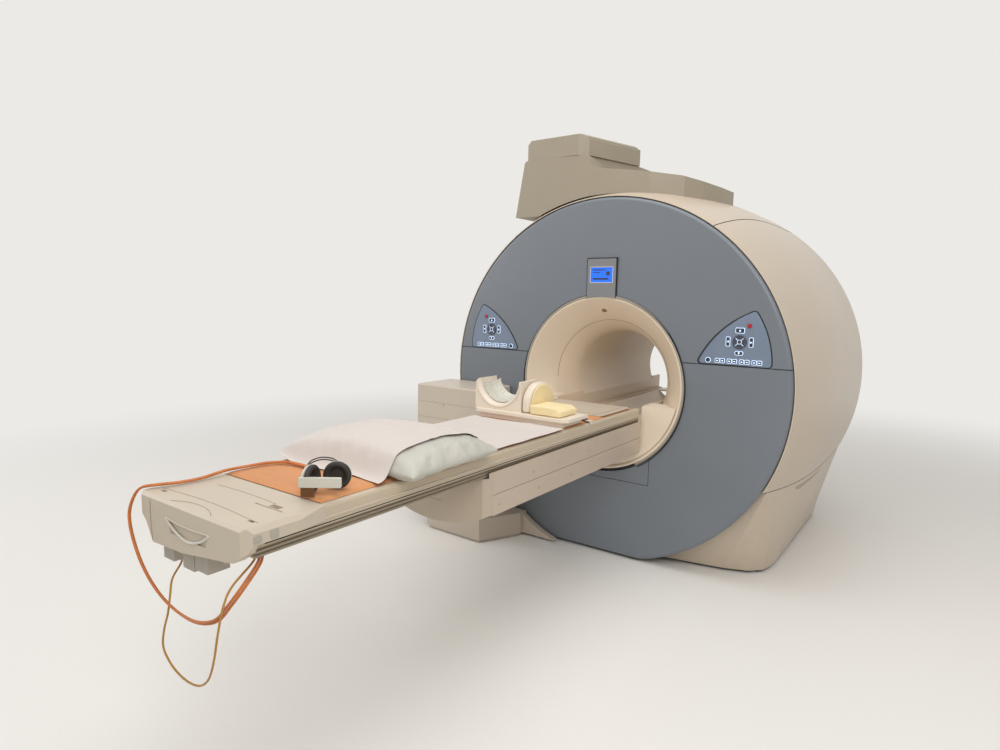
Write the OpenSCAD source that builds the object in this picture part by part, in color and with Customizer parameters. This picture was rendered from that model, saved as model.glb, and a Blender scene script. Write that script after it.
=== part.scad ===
// Whole-body magnetic resonance scanner with its patient table.
// +Y runs into the tunnel from the table's side, +X is right as seen from there, +Z is up.
// The origin is on the floor under the middle of the tunnel.

/* [Magnet covers] */
// Length of the magnet over its covers
cover_len = 1600; // [1560:10:1700]
// Radius of the round front cover
front_r = 1050; // [1030:5:1070]
// Height of the middle of the round covers
axis_z = 1019; // [1010:1:1030]
// How far the barrel's radius grows behind the front cover
barrel_rise = 118; // [110:1:126]
// How far the barrel's radius falls again at the back
tail_drop = 65; // [50:5:80]
// Wall of the barrel and foot covers
cover_wall = 6; // [5:0.5:8]
// Gap at the seams between covers
seam_gap = 3; // [2:0.5:4]
// Height of the seam across the front cover
front_seam_z = 1168; // [1160:1:1180]
// Height of the seam above the foot covers
low_seam_z = 528; // [515:1:540]
// Angle of the seams of the top cover, from the side
top_seam_a = 54.5; // [52:0.5:57]
// How far the front cover stands proud of the barrel's front edge
front_proud = 12; // [8:1:16]
// Depth of the front cover's rims
rim_depth = 36; // [30:1:40]
// Wall of the front covers
front_wall = 8; // [6:1:10]
// Half width of the hatch under the tunnel
hatch_half_w = 328; // [310:1:345]
// Height of the hatch's lower edge
hatch_z = 461; // [445:1:475]

/* [Tunnel] */
// Height of the tunnel's axis
iso_z = 1011; // [1005:1:1017]
// Radius of the patient tunnel
bore_r = 300; // [295:1:305]
// Wall of the tunnel lining
bore_wall = 8; // [6:1:9]
// Radius of the flared mouth
mouth_r = 490; // [480:1:500]
// Depth of the flared mouth
mouth_len = 332; // [310:2:350]
// Distance from the front edge to the seam in the flare
flare_seam = 162; // [140:2:180]
// Radius of the flare at the back
back_mouth_r = 430; // [420:1:440]
// Depth of the flare at the back
back_mouth_len = 156; // [140:2:170]
// Width of the grey ring round the mouth
ring_w = 14; // [12:1:18]

/* [Magnet] */
// Room between the vacuum vessel and the covers round it
vessel_room = 75; // [65:1:90]
// Radius of the vessel's bore
vessel_bore_r = 450; // [446:1:454]
// Room between the vacuum vessel's ends and the covers' ends
end_room = 75; // [70:1:80]
// Wall of the vacuum vessel
vessel_wall = 14; // [12:1:18]
// Inner radius of the helium vessel
helium_bore_r = 520; // [510:1:530]
// Room between the helium vessel and the vacuum vessel round it
helium_room = 105; // [95:1:125]
// Gradient coil's distance from the vacuum vessel's ends
gradient_room = 110; // [105:1:125]
// Radius of the cold head's neck
neck_r = 120; // [110:1:130]

/* [Patient table] */
// Height of the tabletop's rims when raised
table_z = 895; // [890:1:900]
// Width of the tabletop
table_w = 530; // [520:1:536]
// Depth of the tabletop with its side rails
table_d = 87; // [84:1:90]
// Length of the tabletop with its foot cap
table_len = 2424; // [2400:2:2450]
// Length of the foot cap
cap_len = 260; // [245:1:275]
// Thickness of the mattress
mattress_t = 15; // [12:1:18]
// Length of the carrier under the tabletop
carrier_len = 1375; // [1360:1:1390]
// Width of the carrier over its side covers
carrier_w = 558; // [554:1:562]
// Height of the carrier's side covers
carrier_h = 171; // [166:1:176]
// How far the carrier's belly hangs below its sides
belly_drop = 66; // [58:1:72]
// Travel of the table's lift
lift_travel = 420; // [400:5:425]

/* [Lifting tower] */
// Distance of the tower's outer side from the middle
tower_x = 1121; // [1110:1:1130]
// Width of the tower
tower_w = 500; // [490:1:510]
// Depth of the tower
tower_d = 320; // [310:1:321]
// Height of the tower
tower_h = 941; // [930:1:950]
// Height of the tower's base
base_h = 148; // [142:1:154]

/* [Controls] */
// Width of the display above the mouth
display_w = 178; // [170:1:186]
// Height of the display's top
display_z = 1724; // [1715:1:1730]
// Inner end of a control panel's lower edge
panel_in = 569; // [564:1:576]
// Outer end of a control panel's lower edge
panel_out = 940; // [934:1:944]
// Distance of a control panel's tip from the middle
panel_tip = 852; // [846:1:858]
// Height of a control panel's tip
panel_top = 1450; // [1440:1:1456]
// Radius of the red stop button
stop_r = 11; // [9:0.5:13]
// Radius of the round centre knob
knob_r = 35; // [30:0.5:38]

/* [Hidden] */

cover_colour = [0.80, 0.74, 0.64];
front_colour = [0.50, 0.55, 0.62];
cream = [0.86, 0.81, 0.70];
fit = 0.4;
running = 0.05;
fine = 120;

// Round covers of the barrel
half = cover_len / 2;
front_y = -half;
shell_y = front_y + 10;
shoulder_len = 1200;
tail_len = 160;
shoulder_power = 3.5;
tail_power = 2.5;
frame_y = front_y + rim_depth;
frame_t = 8;
ring_r = mouth_r + bore_wall + fit + ring_w;

// Magnet, inside its covers
vessel_r = front_r - vessel_room;
vessel_len = cover_len - 2 * end_room;
helium_r = vessel_r - helium_room;
helium_len = vessel_len - 170;
gradient_len = vessel_len - 2 * gradient_room;

function shoulder(y) = max(0, 1 - (y + half) / shoulder_len);
function tail(y) = max(0, 1 - (half - y) / tail_len);
function barrel_r(y) = front_r + 5 + barrel_rise * (1 - pow(shoulder(y), shoulder_power))
    - tail_drop * pow(tail(y), tail_power);
function low_seam_a(y) = -asin((axis_z - low_seam_z) / barrel_r(y));
function cover_point(y, a, inset) =
    [(barrel_r(y) - inset) * cos(a), y, axis_z + (barrel_r(y) - inset) * sin(a)];

// Closed wall between an outer and an inner grid of points
module wall_loft(outer, inner) {
    rows = len(outer);
    cols = len(outer[0]);
    size = rows * cols;
    points = [for (grid = [outer, inner]) for (row = grid) for (p = row) p];
    skins = [for (i = [0 : rows - 2]) for (j = [0 : cols - 2])
        let (a = i * cols + j, b = a + 1, c = a + cols + 1, d = a + cols)
        each [[a, b, c], [a, c, d], [size + c, size + b, size + a], [size + d, size + c, size + a]]];
    sides = [for (i = [0 : rows - 2]) let (a = i * cols, b = a + cols, c = a + cols - 1, d = b + cols - 1)
        each [[a, b, size + b], [a, size + b, size + a], [c, size + d, d], [c, size + c, size + d]]];
    ends = [for (j = [0 : cols - 2]) let (a = j, b = j + 1, c = size - cols + j, d = c + 1)
        each [[a, size + b, b], [a, size + a, size + b], [c, d, size + d], [c, size + d, size + c]]];
    polyhedron(points, concat(skins, sides, ends));
}

// Rows of a barrel cover lie closer together at its curved ends
function row_y(i, n, y0 = shell_y) = let (t = i / n)
    y0 + (half - y0) * (0.35 * t + 0.325 * (1 - cos(180 * t)));
cover_cols = 14;
facet_cos = cos((top_seam_a - low_seam_a(0)) / 2 / cover_cols);

barrel_rows = 13;
module barrel_wall(low, high, cols, rows = barrel_rows) {
    function grid(inset) = [for (i = [0 : rows]) let (y = row_y(i, rows))
        [for (j = [0 : cols]) let (share = j / cols)
            cover_point(y, (low < 0 ? low_seam_a(y) + seam_gap / barrel_r(y) * 57.3 : low)
                * (1 - share) + high * share, inset)]];
    wall_loft(grid(0), grid(cover_wall));
}

// Cylinder and revolved profile along Y at a given height
module y_cylinder(r, y0, y1, z = iso_z, x = 0) {
    translate([x, y0, z]) rotate([-90, 0, 0]) cylinder(h = y1 - y0, r = r, $fn = fine);
}

module y_revolve(profile, z = iso_z) {
    translate([0, 0, z]) rotate([-90, 0, 0]) rotate_extrude($fn = fine) polygon(profile);
}

// Flat outline in X and Z, extruded along Y
module y_extrude(y0, y1) {
    translate([0, y1, 0]) rotate([90, 0, 0]) linear_extrude(y1 - y0) children();
}

module block(low, high) {
    translate(low) cube(high - low);
}

// Tunnel
bore_front_y = front_y - front_proud + mouth_len;
bore_back_y = half + 6 - back_mouth_len;
flare_power = 1.6;
function flare_r(y) = bore_r + (mouth_r - bore_r)
    * pow(max(0, 1 - (y - front_y + front_proud) / mouth_len), flare_power);
function back_flare_r(y) = bore_r + (back_mouth_r - bore_r)
    * pow(max(0, (y - bore_back_y) / back_mouth_len), flare_power);
bed_half_w = table_w / 2 + 7;
bed_z = table_z - table_d - 8;
bed_wall = bore_wall;
bed_top_z = iso_z - 100;

module bed_space(grow, y0, y1) {
    block([-bed_half_w - grow, y0, bed_z - grow], [bed_half_w + grow, y1, bed_top_z]);
}

module magnet_feet() {
    foot_x = 430;
    foot_w = 220;
    beam_w = 120;
    beam_h = 34;
    foot_y = 450;
    color([0.35, 0.36, 0.38])
    block([-beam_w / 2, -foot_y, 0], [beam_w / 2, foot_y, beam_h]);
    color([0.35, 0.36, 0.38])
    for (y = [-foot_y, foot_y]) {
        reach = foot_edge(y - beam_w / 2) - cover_wall - 3;
        block([-reach, y - beam_w / 2, 0], [reach, y + beam_w / 2, beam_h]);
        difference() {
            for (side = [-1, 1])
                block([side * foot_x - foot_w / 2, y - beam_w / 2, beam_h],
                    [side * foot_x + foot_w / 2, y + beam_w / 2, 240]);
            y_cylinder(vessel_r + fit, y - beam_w, y + beam_w);
        }
    }
}

module vacuum_vessel() {
    e = vessel_len / 2;
    w = vessel_wall;
    bevel = 90;
    shoulder_r = vessel_r - bevel;
    color([0.75, 0.76, 0.77])
    y_revolve([[vessel_bore_r, -e], [shoulder_r, -e], [vessel_r, bevel - e], [vessel_r, e - bevel],
        [shoulder_r, e], [vessel_bore_r, e], [vessel_bore_r, 0], [vessel_bore_r + w, 0],
        [vessel_bore_r + w, e - w], [shoulder_r - w / 2, e - w], [vessel_r - w, e - bevel - w / 2],
        [vessel_r - w, bevel + w / 2 - e], [shoulder_r - w / 2, w - e], [vessel_bore_r + w, w - e],
        [vessel_bore_r + w, -1], [vessel_bore_r, -1]]);
}

module helium_vessel() {
    e = helium_len / 2;
    w = 8;
    strut_r = 12;
    strut_ring_r = (helium_r + helium_bore_r) / 2;
    color([0.70, 0.72, 0.75])
    y_revolve([[helium_bore_r, -e], [helium_r, -e], [helium_r, e], [helium_bore_r, e],
        [helium_bore_r, 0], [helium_bore_r + w, 0], [helium_bore_r + w, e - w],
        [helium_r - w, e - w], [helium_r - w, w - e], [helium_bore_r + w, w - e],
        [helium_bore_r + w, -1], [helium_bore_r, -1]]);
    color([0.70, 0.72, 0.75])
    for (turn = [45 : 90 : 315]) for (side = [-1, 1])
        translate([strut_ring_r * cos(turn), 0, iso_z + strut_ring_r * sin(turn)])
            y_cylinder(strut_r, side < 0 ? vessel_wall - vessel_len / 2 : e,
                side < 0 ? -e : vessel_len / 2 - vessel_wall, 0);
}

module magnet_coils() {
    in_r = helium_bore_r + 8 + fit;
    former = in_r + 14;
    wind = in_r + 70;
    coils = [[-540, 110], [-330, 70], [-130, 60], [130, 60], [330, 70], [540, 110]];
    color([0.72, 0.45, 0.20])
    y_revolve(concat([[in_r, -helium_len / 2 + 20]],
        [for (c = coils) each [[former, c[0] - c[1] / 2], [wind, c[0] - c[1] / 2],
            [wind, c[0] + c[1] / 2], [former, c[0] + c[1] / 2]]],
        [[in_r, helium_len / 2 - 20]]));
}

// The body coil sits on the corners of the bed's channel
body_coil_r = sqrt(pow(bed_half_w + bed_wall, 2) + pow(iso_z - bed_z + bed_wall, 2)) + fit;
gradient_in_r = body_coil_r + 8 + fit;

module body_coil() {
    e = 320;
    color([0.78, 0.62, 0.42])
    y_revolve([[body_coil_r, -e], [body_coil_r + 6, -e], [body_coil_r + 6, 30 - e],
        [body_coil_r + 8, 30 - e], [body_coil_r + 8, e - 30], [body_coil_r + 6, e - 30],
        [body_coil_r + 6, e], [body_coil_r, e]]);
}

module gradient_coil() {
    e = gradient_len / 2;
    band = 60;
    out_r = vessel_bore_r - 14;
    color([0.20, 0.22, 0.25])
    y_revolve([[gradient_in_r, -e], [vessel_bore_r - fit, -e], [vessel_bore_r - fit, band - e],
        [out_r, band - e], [out_r, e - band], [vessel_bore_r - fit, e - band],
        [vessel_bore_r - fit, e], [gradient_in_r, e]]);
}

// Cold head, with its neck through the top cover
cold_x = -330;
cold_y = -430;
turret_z = axis_z + front_r + 255;
cap_z = turret_z + 117;

module cold_head() {
    neck_h = 280;
    neck_top = vessel_r + iso_z + 80;
    color([0.80, 0.81, 0.82])
    difference() {
        translate([cold_x, cold_y, neck_top - neck_h]) cylinder(h = neck_h, r = neck_r, $fn = 48);
        y_cylinder(vessel_r + fit, cold_y - 2 * neck_r, cold_y + 2 * neck_r);
    }
    color([0.80, 0.81, 0.82]) {
        translate([cold_x, cold_y, neck_top]) cylinder(h = 18, r = neck_r + 25, $fn = 48);
        translate([cold_x, cold_y, neck_top + 18]) cylinder(h = 130, r = 62, $fn = 48);
        translate([cold_x, cold_y, neck_top + 148]) cylinder(h = 90, r = 80, $fn = 48);
        translate([cold_x + 60, cold_y, neck_top + 190]) rotate([0, 90, 0])
            cylinder(h = 70, r = 22, $fn = 32);
    }
}

// Steel plate between the vessel and the front covers
module cover_frame() {
    frame_r = (barrel_r(frame_y) - cover_wall) * facet_cos - 2 * fit;
    color([0.45, 0.46, 0.48])
    difference() {
        union() {
            y_cylinder(frame_r, frame_y, frame_y + frame_t, axis_z);
            for (turn = [30 : 60 : 330])
                translate([700 * cos(turn), 0, axis_z + 700 * sin(turn)])
                    y_cylinder(30, frame_y + frame_t, -vessel_len / 2, 0);
        }
        y_cylinder(mouth_r + bore_wall + 2, frame_y - 1, frame_y + frame_t + 1);
        for (turn = [0 : 60 : 300])
            translate([790 * cos(turn), 0, axis_z + 790 * sin(turn)])
                y_cylinder(100, frame_y - 1, frame_y + frame_t + 1, 0);
        block([-front_r - 99, frame_y - 1, -front_r], [front_r + 99, frame_y + frame_t + 1, 60]);
        for (side = [-1, 1]) scale([side, 1, 1])
            difference() {
                block([300, frame_y - 1, 0], [front_r + 99, frame_y + frame_t + 1, low_seam_z + 8]);
                y_cylinder(vessel_r - 10, frame_y - 2, frame_y + frame_t + 2, axis_z);
            }
    }
}

module bore_tube() {
    color(cream)
    y_extrude(bore_front_y, bore_back_y) difference() {
        union() {
            translate([0, iso_z]) circle(bore_r + bore_wall, $fn = fine);
            translate([-bed_half_w - bed_wall, bed_z - bed_wall])
                square([2 * (bed_half_w + bed_wall), bed_top_z - bed_z + bed_wall]);
        }
        translate([0, iso_z]) circle(bore_r, $fn = fine);
        translate([-bed_half_w, bed_z]) square([2 * bed_half_w, bed_top_z - bed_z + 1]);
    }
}

// Part of the flared lining between two places along the tunnel
module flare_wall(y0, y1, steps) {
    ys = [for (i = [0 : steps]) y0 + (y1 - y0) * i / steps];
    difference() {
        y_revolve(concat([for (y = ys) [flare_r(y), y]],
            [for (i = [steps : -1 : 0]) [flare_r(ys[i]) + bore_wall, ys[i]]]));
        bed_space(bed_wall + fit, y0 - 1, y1 + 1);
    }
}

seam_y = front_y - front_proud + flare_seam;

module throat_ring() {
    color(cream) flare_wall(seam_y + fit, bore_front_y, 8);
}

// Place of the laser window, square to the flare
laser_y = front_y + 70;
laser_turn = -2.5;
laser_r = 16;

module laser_place() {
    slope = (flare_r(laser_y - 1) - flare_r(laser_y + 1)) / 2;
    translate([0, 0, iso_z]) rotate([0, laser_turn, 0])
        translate([0, laser_y, flare_r(laser_y)]) rotate([-atan(slope), 0, 0]) children();
}

module front_funnel() {
    color(cream)
    difference() {
        flare_wall(front_y - front_proud, seam_y, 10);
        laser_place() cylinder(h = 60, r = laser_r, center = true, $fn = 32);
    }
}

module laser_window() {
    color([0.75, 0.60, 0.25])
    laser_place() translate([0, 0, -1]) cylinder(h = bore_wall - 1, r = laser_r - fit, $fn = 32);
}

module rear_funnel() {
    steps = 8;
    lip = 14;
    ys = [for (i = [0 : steps]) bore_back_y + back_mouth_len * i / steps];
    end_y = ys[steps];
    color(cream)
    difference() {
        y_revolve(concat([for (y = ys) [back_flare_r(y), y]],
            [[back_mouth_r + bore_wall + lip, end_y], [back_mouth_r + bore_wall + lip, end_y - 6],
                [back_flare_r(end_y - 6) + bore_wall, end_y - 6]],
            [for (i = [steps - 1 : -1 : 0]) [back_flare_r(ys[i]) + bore_wall, ys[i]]]));
        bed_space(bed_wall + fit, bore_back_y - 1, end_y + 1);
    }
}

// Cream plate in the lower half of the mouth, with the slot for the table
module bore_sill() {
    sill_y = front_y - 4;
    sill_t = 6;
    shelf_len = 120;
    slot_half_w = bed_half_w + bed_wall + fit;
    steps = 8;
    color(cream)
    intersection() {
        difference() {
            union() {
                block([-mouth_r, sill_y, iso_z - mouth_r], [mouth_r, sill_y + sill_t, bed_top_z]);
                block([-mouth_r, sill_y, bed_top_z - sill_t], [mouth_r, sill_y + shelf_len, bed_top_z]);
            }
            block([-slot_half_w, sill_y - 1, bed_z - bed_wall - fit],
                [slot_half_w, sill_y + shelf_len + 1, bed_top_z + 1]);
        }
        y_revolve(concat([[0, sill_y - 1]], [for (i = [0 : steps])
            let (y = sill_y - 1 + (shelf_len + 2) * i / steps) [flare_r(y + 6) - fit, y]],
            [[0, sill_y + shelf_len + 1]]));
    }
}

// Channel and glide strips that the tabletop runs on inside the magnet
strip_w = 12;
strip_x = table_w / 2 - 8;

module bed_channel(y0, y1) {
    y_extrude(y0, y1) difference() {
        translate([-bed_half_w - bed_wall, bed_z - bed_wall])
            square([2 * (bed_half_w + bed_wall), bed_top_z - bed_z + bed_wall - 6]);
        translate([-bed_half_w, bed_z]) square([2 * bed_half_w, bed_top_z]);
    }
}

module bore_bed() {
    bed_front_y = front_y - 4;
    bed_back_y = half - 2;
    color([0.83, 0.79, 0.70]) {
        bed_channel(bed_front_y, bore_front_y - fit);
        bed_channel(bore_back_y + fit, bed_back_y);
        for (side = [-1, 1])
            block([side * strip_x - strip_w / 2, bed_front_y, bed_z],
                [side * strip_x + strip_w / 2, bed_back_y, table_z - table_d - fit]);
    }
}

module ring_trim() {
    out_r = ring_r;
    in_r = ring_r - ring_w;
    y0 = front_y - 18;
    color([0.62, 0.60, 0.56])
    difference() {
        y_revolve([[in_r, frame_y], [in_r, y0 + 5], [in_r + 4, y0], [out_r - 5, y0 + 1],
            [out_r, y0 + 6], [out_r, frame_y]]);
        block([-250, y0 - 1, iso_z - ring_r - 9], [250, frame_y + 1, iso_z]);
        block([-display_w / 2 - seam_gap, y0 - 1, iso_z],
            [display_w / 2 + seam_gap, frame_y + 1, iso_z + 600]);
    }
}

// Whole front cover, before it is cut into its panels
function front_face_y(r) = front_y - front_proud * (1 - pow(r / front_r, 2));

module front_skin() {
    edge = 24;
    steps = 8;
    r_in = ring_r + seam_gap;
    face = [for (i = [0 : steps]) let (r = (front_r - edge) * i / steps) [r, front_face_y(r)]];
    corner = [for (a = [15 : 15 : 90]) [front_r - edge + edge * sin(a),
        front_face_y(front_r - edge) + edge * (1 - cos(a))]];
    difference() {
        union() {
            difference() {
                y_revolve(concat(face, corner, [[front_r, frame_y], [front_r - front_wall, frame_y],
                    [front_r - front_wall, front_y + edge + 8],
                        [front_r - edge - 6, front_y + front_wall + 2],
                    [0, front_y - front_proud + front_wall]]), axis_z);
                y_cylinder(r_in, front_y - 99, frame_y + 1);
            }
            difference() {
                y_cylinder(r_in + front_wall, front_y - front_proud + front_wall - 1, frame_y);
                y_cylinder(r_in, front_y - 99, frame_y + 1);
            }
        }
        block([-front_r, front_y - 99, -front_r], [front_r, frame_y + 1, 22]);
    }
}

module front_cover_upper() {
    color(front_colour)
    difference() {
        front_skin();
        block([-front_r - 9, front_y - 99, 0], [front_r + 9, frame_y + 1, front_seam_z]);
        block([-display_w / 2 - seam_gap, front_y - 99, iso_z],
            [display_w / 2 + seam_gap, frame_y + 1, display_z + seam_gap]);
        for (side = [-1, 1]) scale([side, 1, 1]) panel_plate(front_y - 99, frame_y + 1, seam_gap);
    }
}

module front_cover_lower() {
    color(front_colour)
    difference() {
        front_skin();
        block([-front_r - 9, front_y - 99, front_seam_z - seam_gap],
            [front_r + 9, frame_y + 1, axis_z + front_r + 9]);
        block([-hatch_half_w - seam_gap, front_y - 99, hatch_z - seam_gap],
            [hatch_half_w + seam_gap, frame_y + 1, iso_z]);
    }
}

module front_hatch() {
    color(front_colour)
    intersection() {
        front_skin();
        block([-hatch_half_w, front_y - 99, hatch_z], [hatch_half_w, frame_y + 1, iso_z]);
    }
}

// Three-cornered control panel with two bowed sides
function bow(p, q, rise, n) = let (d = q - p, len = norm(d), side = [-d[1], d[0]] / len)
    [for (i = [0 : n]) let (t = i / n) p + d * t + side * rise * 4 * t * (1 - t)];

module panel_outline(grow) {
    low_z = front_seam_z + 4;
    corner_r = 16;
    offset(r = corner_r + grow, $fn = 24) offset(delta = -corner_r)
        polygon(concat(bow([panel_in, low_z], [panel_tip, panel_top], 40, 8),
            bow([panel_tip, panel_top], [panel_out, low_z], 22, 8)));
}

panel_y = front_y - 5;
module panel_plate(y0, y1, grow) {
    y_extrude(y0, y1) panel_outline(grow);
}

stop_x = 826;
stop_z = 1375;
knob_x = 781;
knob_z = 1292;
stop_travel = 3;
knob_travel = 2;

module control_panel() {
    key_r = 11;
    key_ring = 54;
    color([0.60, 0.66, 0.76])
    difference() {
        union() {
            panel_plate(panel_y, frame_y, 0);
            for (turn = [0 : 90 : 270])
                translate([knob_x + key_ring * cos(turn), 0, knob_z + key_ring * sin(turn)])
                    y_cylinder(key_r, panel_y - 1.5, panel_y + 1, 0);
            for (i = [0 : 4])
                translate([627 + 61 * i, 0, front_seam_z + 24])
                    y_cylinder(key_r, panel_y - 1.5, panel_y + 1, 0);
        }
        translate([stop_x, 0, stop_z]) y_cylinder(stop_r + fit, panel_y - 9, panel_y + 9, 0);
        translate([knob_x, 0, knob_z]) y_cylinder(knob_r + fit, panel_y - 9, panel_y + 9, 0);
    }
}

module stop_button() {
    color([0.75, 0.12, 0.12])
    translate([stop_x, 0, stop_z])
        y_revolve([[0, panel_y - 7], [stop_r - 2, panel_y - 7], [stop_r, panel_y - 5],
            [stop_r, panel_y + 9 - stop_travel - 1], [0, panel_y + 9 - stop_travel - 1]], 0);
}

module centre_knob() {
    color([0.18, 0.20, 0.24])
    translate([knob_x, 0, knob_z])
        y_revolve([[0, panel_y - 4], [knob_r - 8, panel_y - 4], [knob_r - 3, panel_y - 6],
            [knob_r, panel_y - 4], [knob_r, panel_y + 9 - knob_travel - 1],
            [0, panel_y + 9 - knob_travel - 1]], 0);
}

module on_left() {
    mirror([1, 0, 0]) children();
}

screen_low = 1588;
screen_high = 1679;

module display_case() {
    color([0.42, 0.45, 0.50])
    difference() {
        block([-display_w / 2, front_y - 20, 1440], [display_w / 2, frame_y, display_z]);
        y_cylinder(mouth_r + bore_wall + fit, front_y - 99, frame_y + 1);
        block([-display_w / 2 + 17, front_y - 21, screen_low],
            [display_w / 2 - 17, front_y - 14, screen_high]);
    }
}

module display_screen() {
    color([0.10, 0.40, 0.95])
    block([-display_w / 2 + 17 + fit, front_y - 17, screen_low + fit],
        [display_w / 2 - 17 - fit, front_y - 14, screen_high - fit]);
}

module top_cover() {
    color(cover_colour)
    difference() {
        barrel_wall(top_seam_a, 180 - top_seam_a, cover_cols);
        translate([cold_x, cold_y, axis_z]) cylinder(h = 1300, r = neck_r + 34, $fn = 32);
    }
}

module side_cover_right() {
    color(cover_colour) barrel_wall(-1, top_seam_a - seam_gap / front_r * 57.3, cover_cols);
}

module side_cover_left() {
    on_left() side_cover_right();
}

// Foot covers run from the low seam straight down to the floor
foot_x0 = 708;
foot_y0 = -607;
foot_x1 = 925;
foot_flare = 55;
foot_top_y = frame_y + 2;
foot_low = 0.03;
function seam_x(y, inset) = sqrt(pow(barrel_r(y) - inset, 2) - pow(axis_z - low_seam_z, 2));
function foot_edge(y) = foot_x1 - (foot_x1 - foot_x0) * exp((foot_y0 - y) / foot_flare);
function floor_y(y) = foot_y0 + (y - foot_top_y) * (half - foot_y0) / (half - foot_top_y);
function foot_point(y, share, inset) = [
    (foot_edge(floor_y(y)) - inset) * (1 - share) + seam_x(y, inset) * share,
    floor_y(y) * (1 - share) + y * share, low_seam_z * share];

module foot_cover() {
    rows = 6;
    cols = 14;
    // Short wall that turns in behind the front cover
    floor_in = [[300, -690], [450, -655], [620, -625]];
    top_in = [[800, -742], [840, -744], [880, -748]];
    function inner(k, share, inset) = let (p = floor_in[k] * (1 - share) + top_in[k] * share)
        [p[0], p[1] + inset, low_seam_z * share];
    function grid(inset) = [for (i = [rows : -1 : 0]) let (share = foot_low + (1 - foot_low) * i / rows)
        concat([for (k = [0 : 2]) inner(k, share, inset)],
            [for (j = [0 : cols]) foot_point(row_y(j, cols, foot_top_y), share, inset)
                + [0, inset * exp(-j), 0]])];
    wall_loft(grid(0), grid(cover_wall));
}

module foot_cover_right() {
    color(cover_colour) foot_cover();
}

module foot_cover_left() {
    color(cover_colour) on_left() foot_cover();
}

module rear_cover() {
    y0 = half - 24;
    y1 = half - 12;
    last_y = row_y(barrel_rows - 1, barrel_rows);
    last_r = barrel_r(last_y);
    sag = barrel_r(y1) - last_r - (barrel_r(half) - last_r) * (y1 - last_y) / (half - last_y);
    inset = cover_wall + 3 * fit + sag;
    side_from = low_seam_a(y1);
    angles = concat([for (j = [0 : cover_cols]) side_from + (top_seam_a - side_from) * j / cover_cols],
        [for (j = [1 : cover_cols / 2]) top_seam_a + (90 - top_seam_a) * j / (cover_cols / 2)]);
    arc = [for (a = angles) let (p = cover_point(y1, a, inset)) [p[0], p[2]]];
    foot = [for (share = [foot_low : 0.19 : 0.99]) let (p = foot_point(y1, share, inset)) [p[0], p[2]]];
    right = concat(foot, arc);
    left = [for (i = [len(right) - 1 : -1 : 0]) [-right[i][0], right[i][1]]];
    color(cover_colour)
    difference() {
        union() {
            y_extrude(y0, y1) polygon(concat(right, left));
            for (turn = [30 : 60 : 330])
                translate([700 * cos(turn), 0, axis_z + 700 * sin(turn)])
                    y_cylinder(30, vessel_len / 2, y0 + 1, 0);
        }
        y_cylinder(back_mouth_r + bore_wall + 4, y0 - 1, y1 + 1);
    }
}

// Housing on top of the magnet
turret_back = -130;
turret_left = -622;
turret_wall = 6;
turret_plan = [[turret_left, turret_back], [turret_left, -788], [-560, -786], [-130, -774], [11, -742],
    [211, -684], [367, -575], [440, -470], [490, -300], [508, turret_back]];
turret_low = turret_z - 524;
turret_floor = turret_z - 334;
turret_face = [[-440, turret_low], [-440, turret_floor], [turret_left, turret_floor],
    [turret_left + 58, turret_z - 12], [turret_left + 70, turret_z],
    [-150, turret_z], [-128, turret_z - 24], [-118, turret_z - 62], [-60, turret_z - 84],
    [60, turret_z - 98], [356, turret_z - 137], [530, turret_z - 185], [530, turret_low]];

module turret_cover() {
    steps = barrel_rows;
    step_plan = [[turret_left, turret_back], [turret_left, -700], [-150, -700], [-40, -320],
        [-30, turret_back]];
    color([0.66, 0.62, 0.53])
    difference() {
        union() {
            intersection() {
                linear_extrude(3000) polygon(turret_plan);
                y_extrude(-900, 900) polygon(turret_face);
            }
            intersection() {
                translate([0, 0, turret_z - 174]) linear_extrude(174) polygon(step_plan);
                y_extrude(-900, 900) polygon(concat([for (i = [0 : 4]) turret_face[i]],
                    [[600, turret_z], [600, turret_low]]));
            }
        }
        intersection() {
            linear_extrude(3000) offset(delta = -turret_wall) polygon(turret_plan);
            y_extrude(-900, 900) offset(delta = -turret_wall) polygon(turret_face);
        }
        y_revolve(concat([[0, -900]], [for (i = [0 : steps]) let (y = row_y(i, steps))
            [barrel_r(y) + fit, i == 0 ? -900 : y]], [[0, half]]), axis_z);
        translate([cold_x, cold_y, turret_z - 99]) cylinder(h = 200, r = 110, $fn = 48);
    }
}

module turret_cap() {
    cap_back = -300;
    cap_plan = [[-545, cap_back], [-545, -780], [-196, -780], [-150, -738], [-30, -320], [-28, cap_back]];
    bevel = 32;
    module rim(x, y, turn) {
        translate([x, y, cap_z]) rotate([0, 0, turn]) rotate([0, 45, 0])
            cube([bevel, 3000, bevel], center = true);
    }
    color([0.72, 0.67, 0.58])
    difference() {
        translate([0, 0, turret_z]) linear_extrude(cap_z - turret_z) polygon(cap_plan);
        translate([0, 0, turret_z - 1]) linear_extrude(cap_z - turret_z - 2 * turret_wall)
            offset(delta = -turret_wall) polygon(cap_plan);
        rim(-150, -738, -16);
        rim(-545, 0, 0);
        rim(0, cap_back, 90);
    }
}

// Lifting tower
tower_y = -1135;
tower_right = tower_w - tower_x;
tower_wall = 5;
guide_x = tower_right - 130;
guide_y = tower_y + tower_d / 2;
guide_gap = 140;
guide_r = 18;
arm_w = 150;
arm_h = 150;
arm_z = table_z - table_d - 190;
lid_h = 36;

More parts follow.
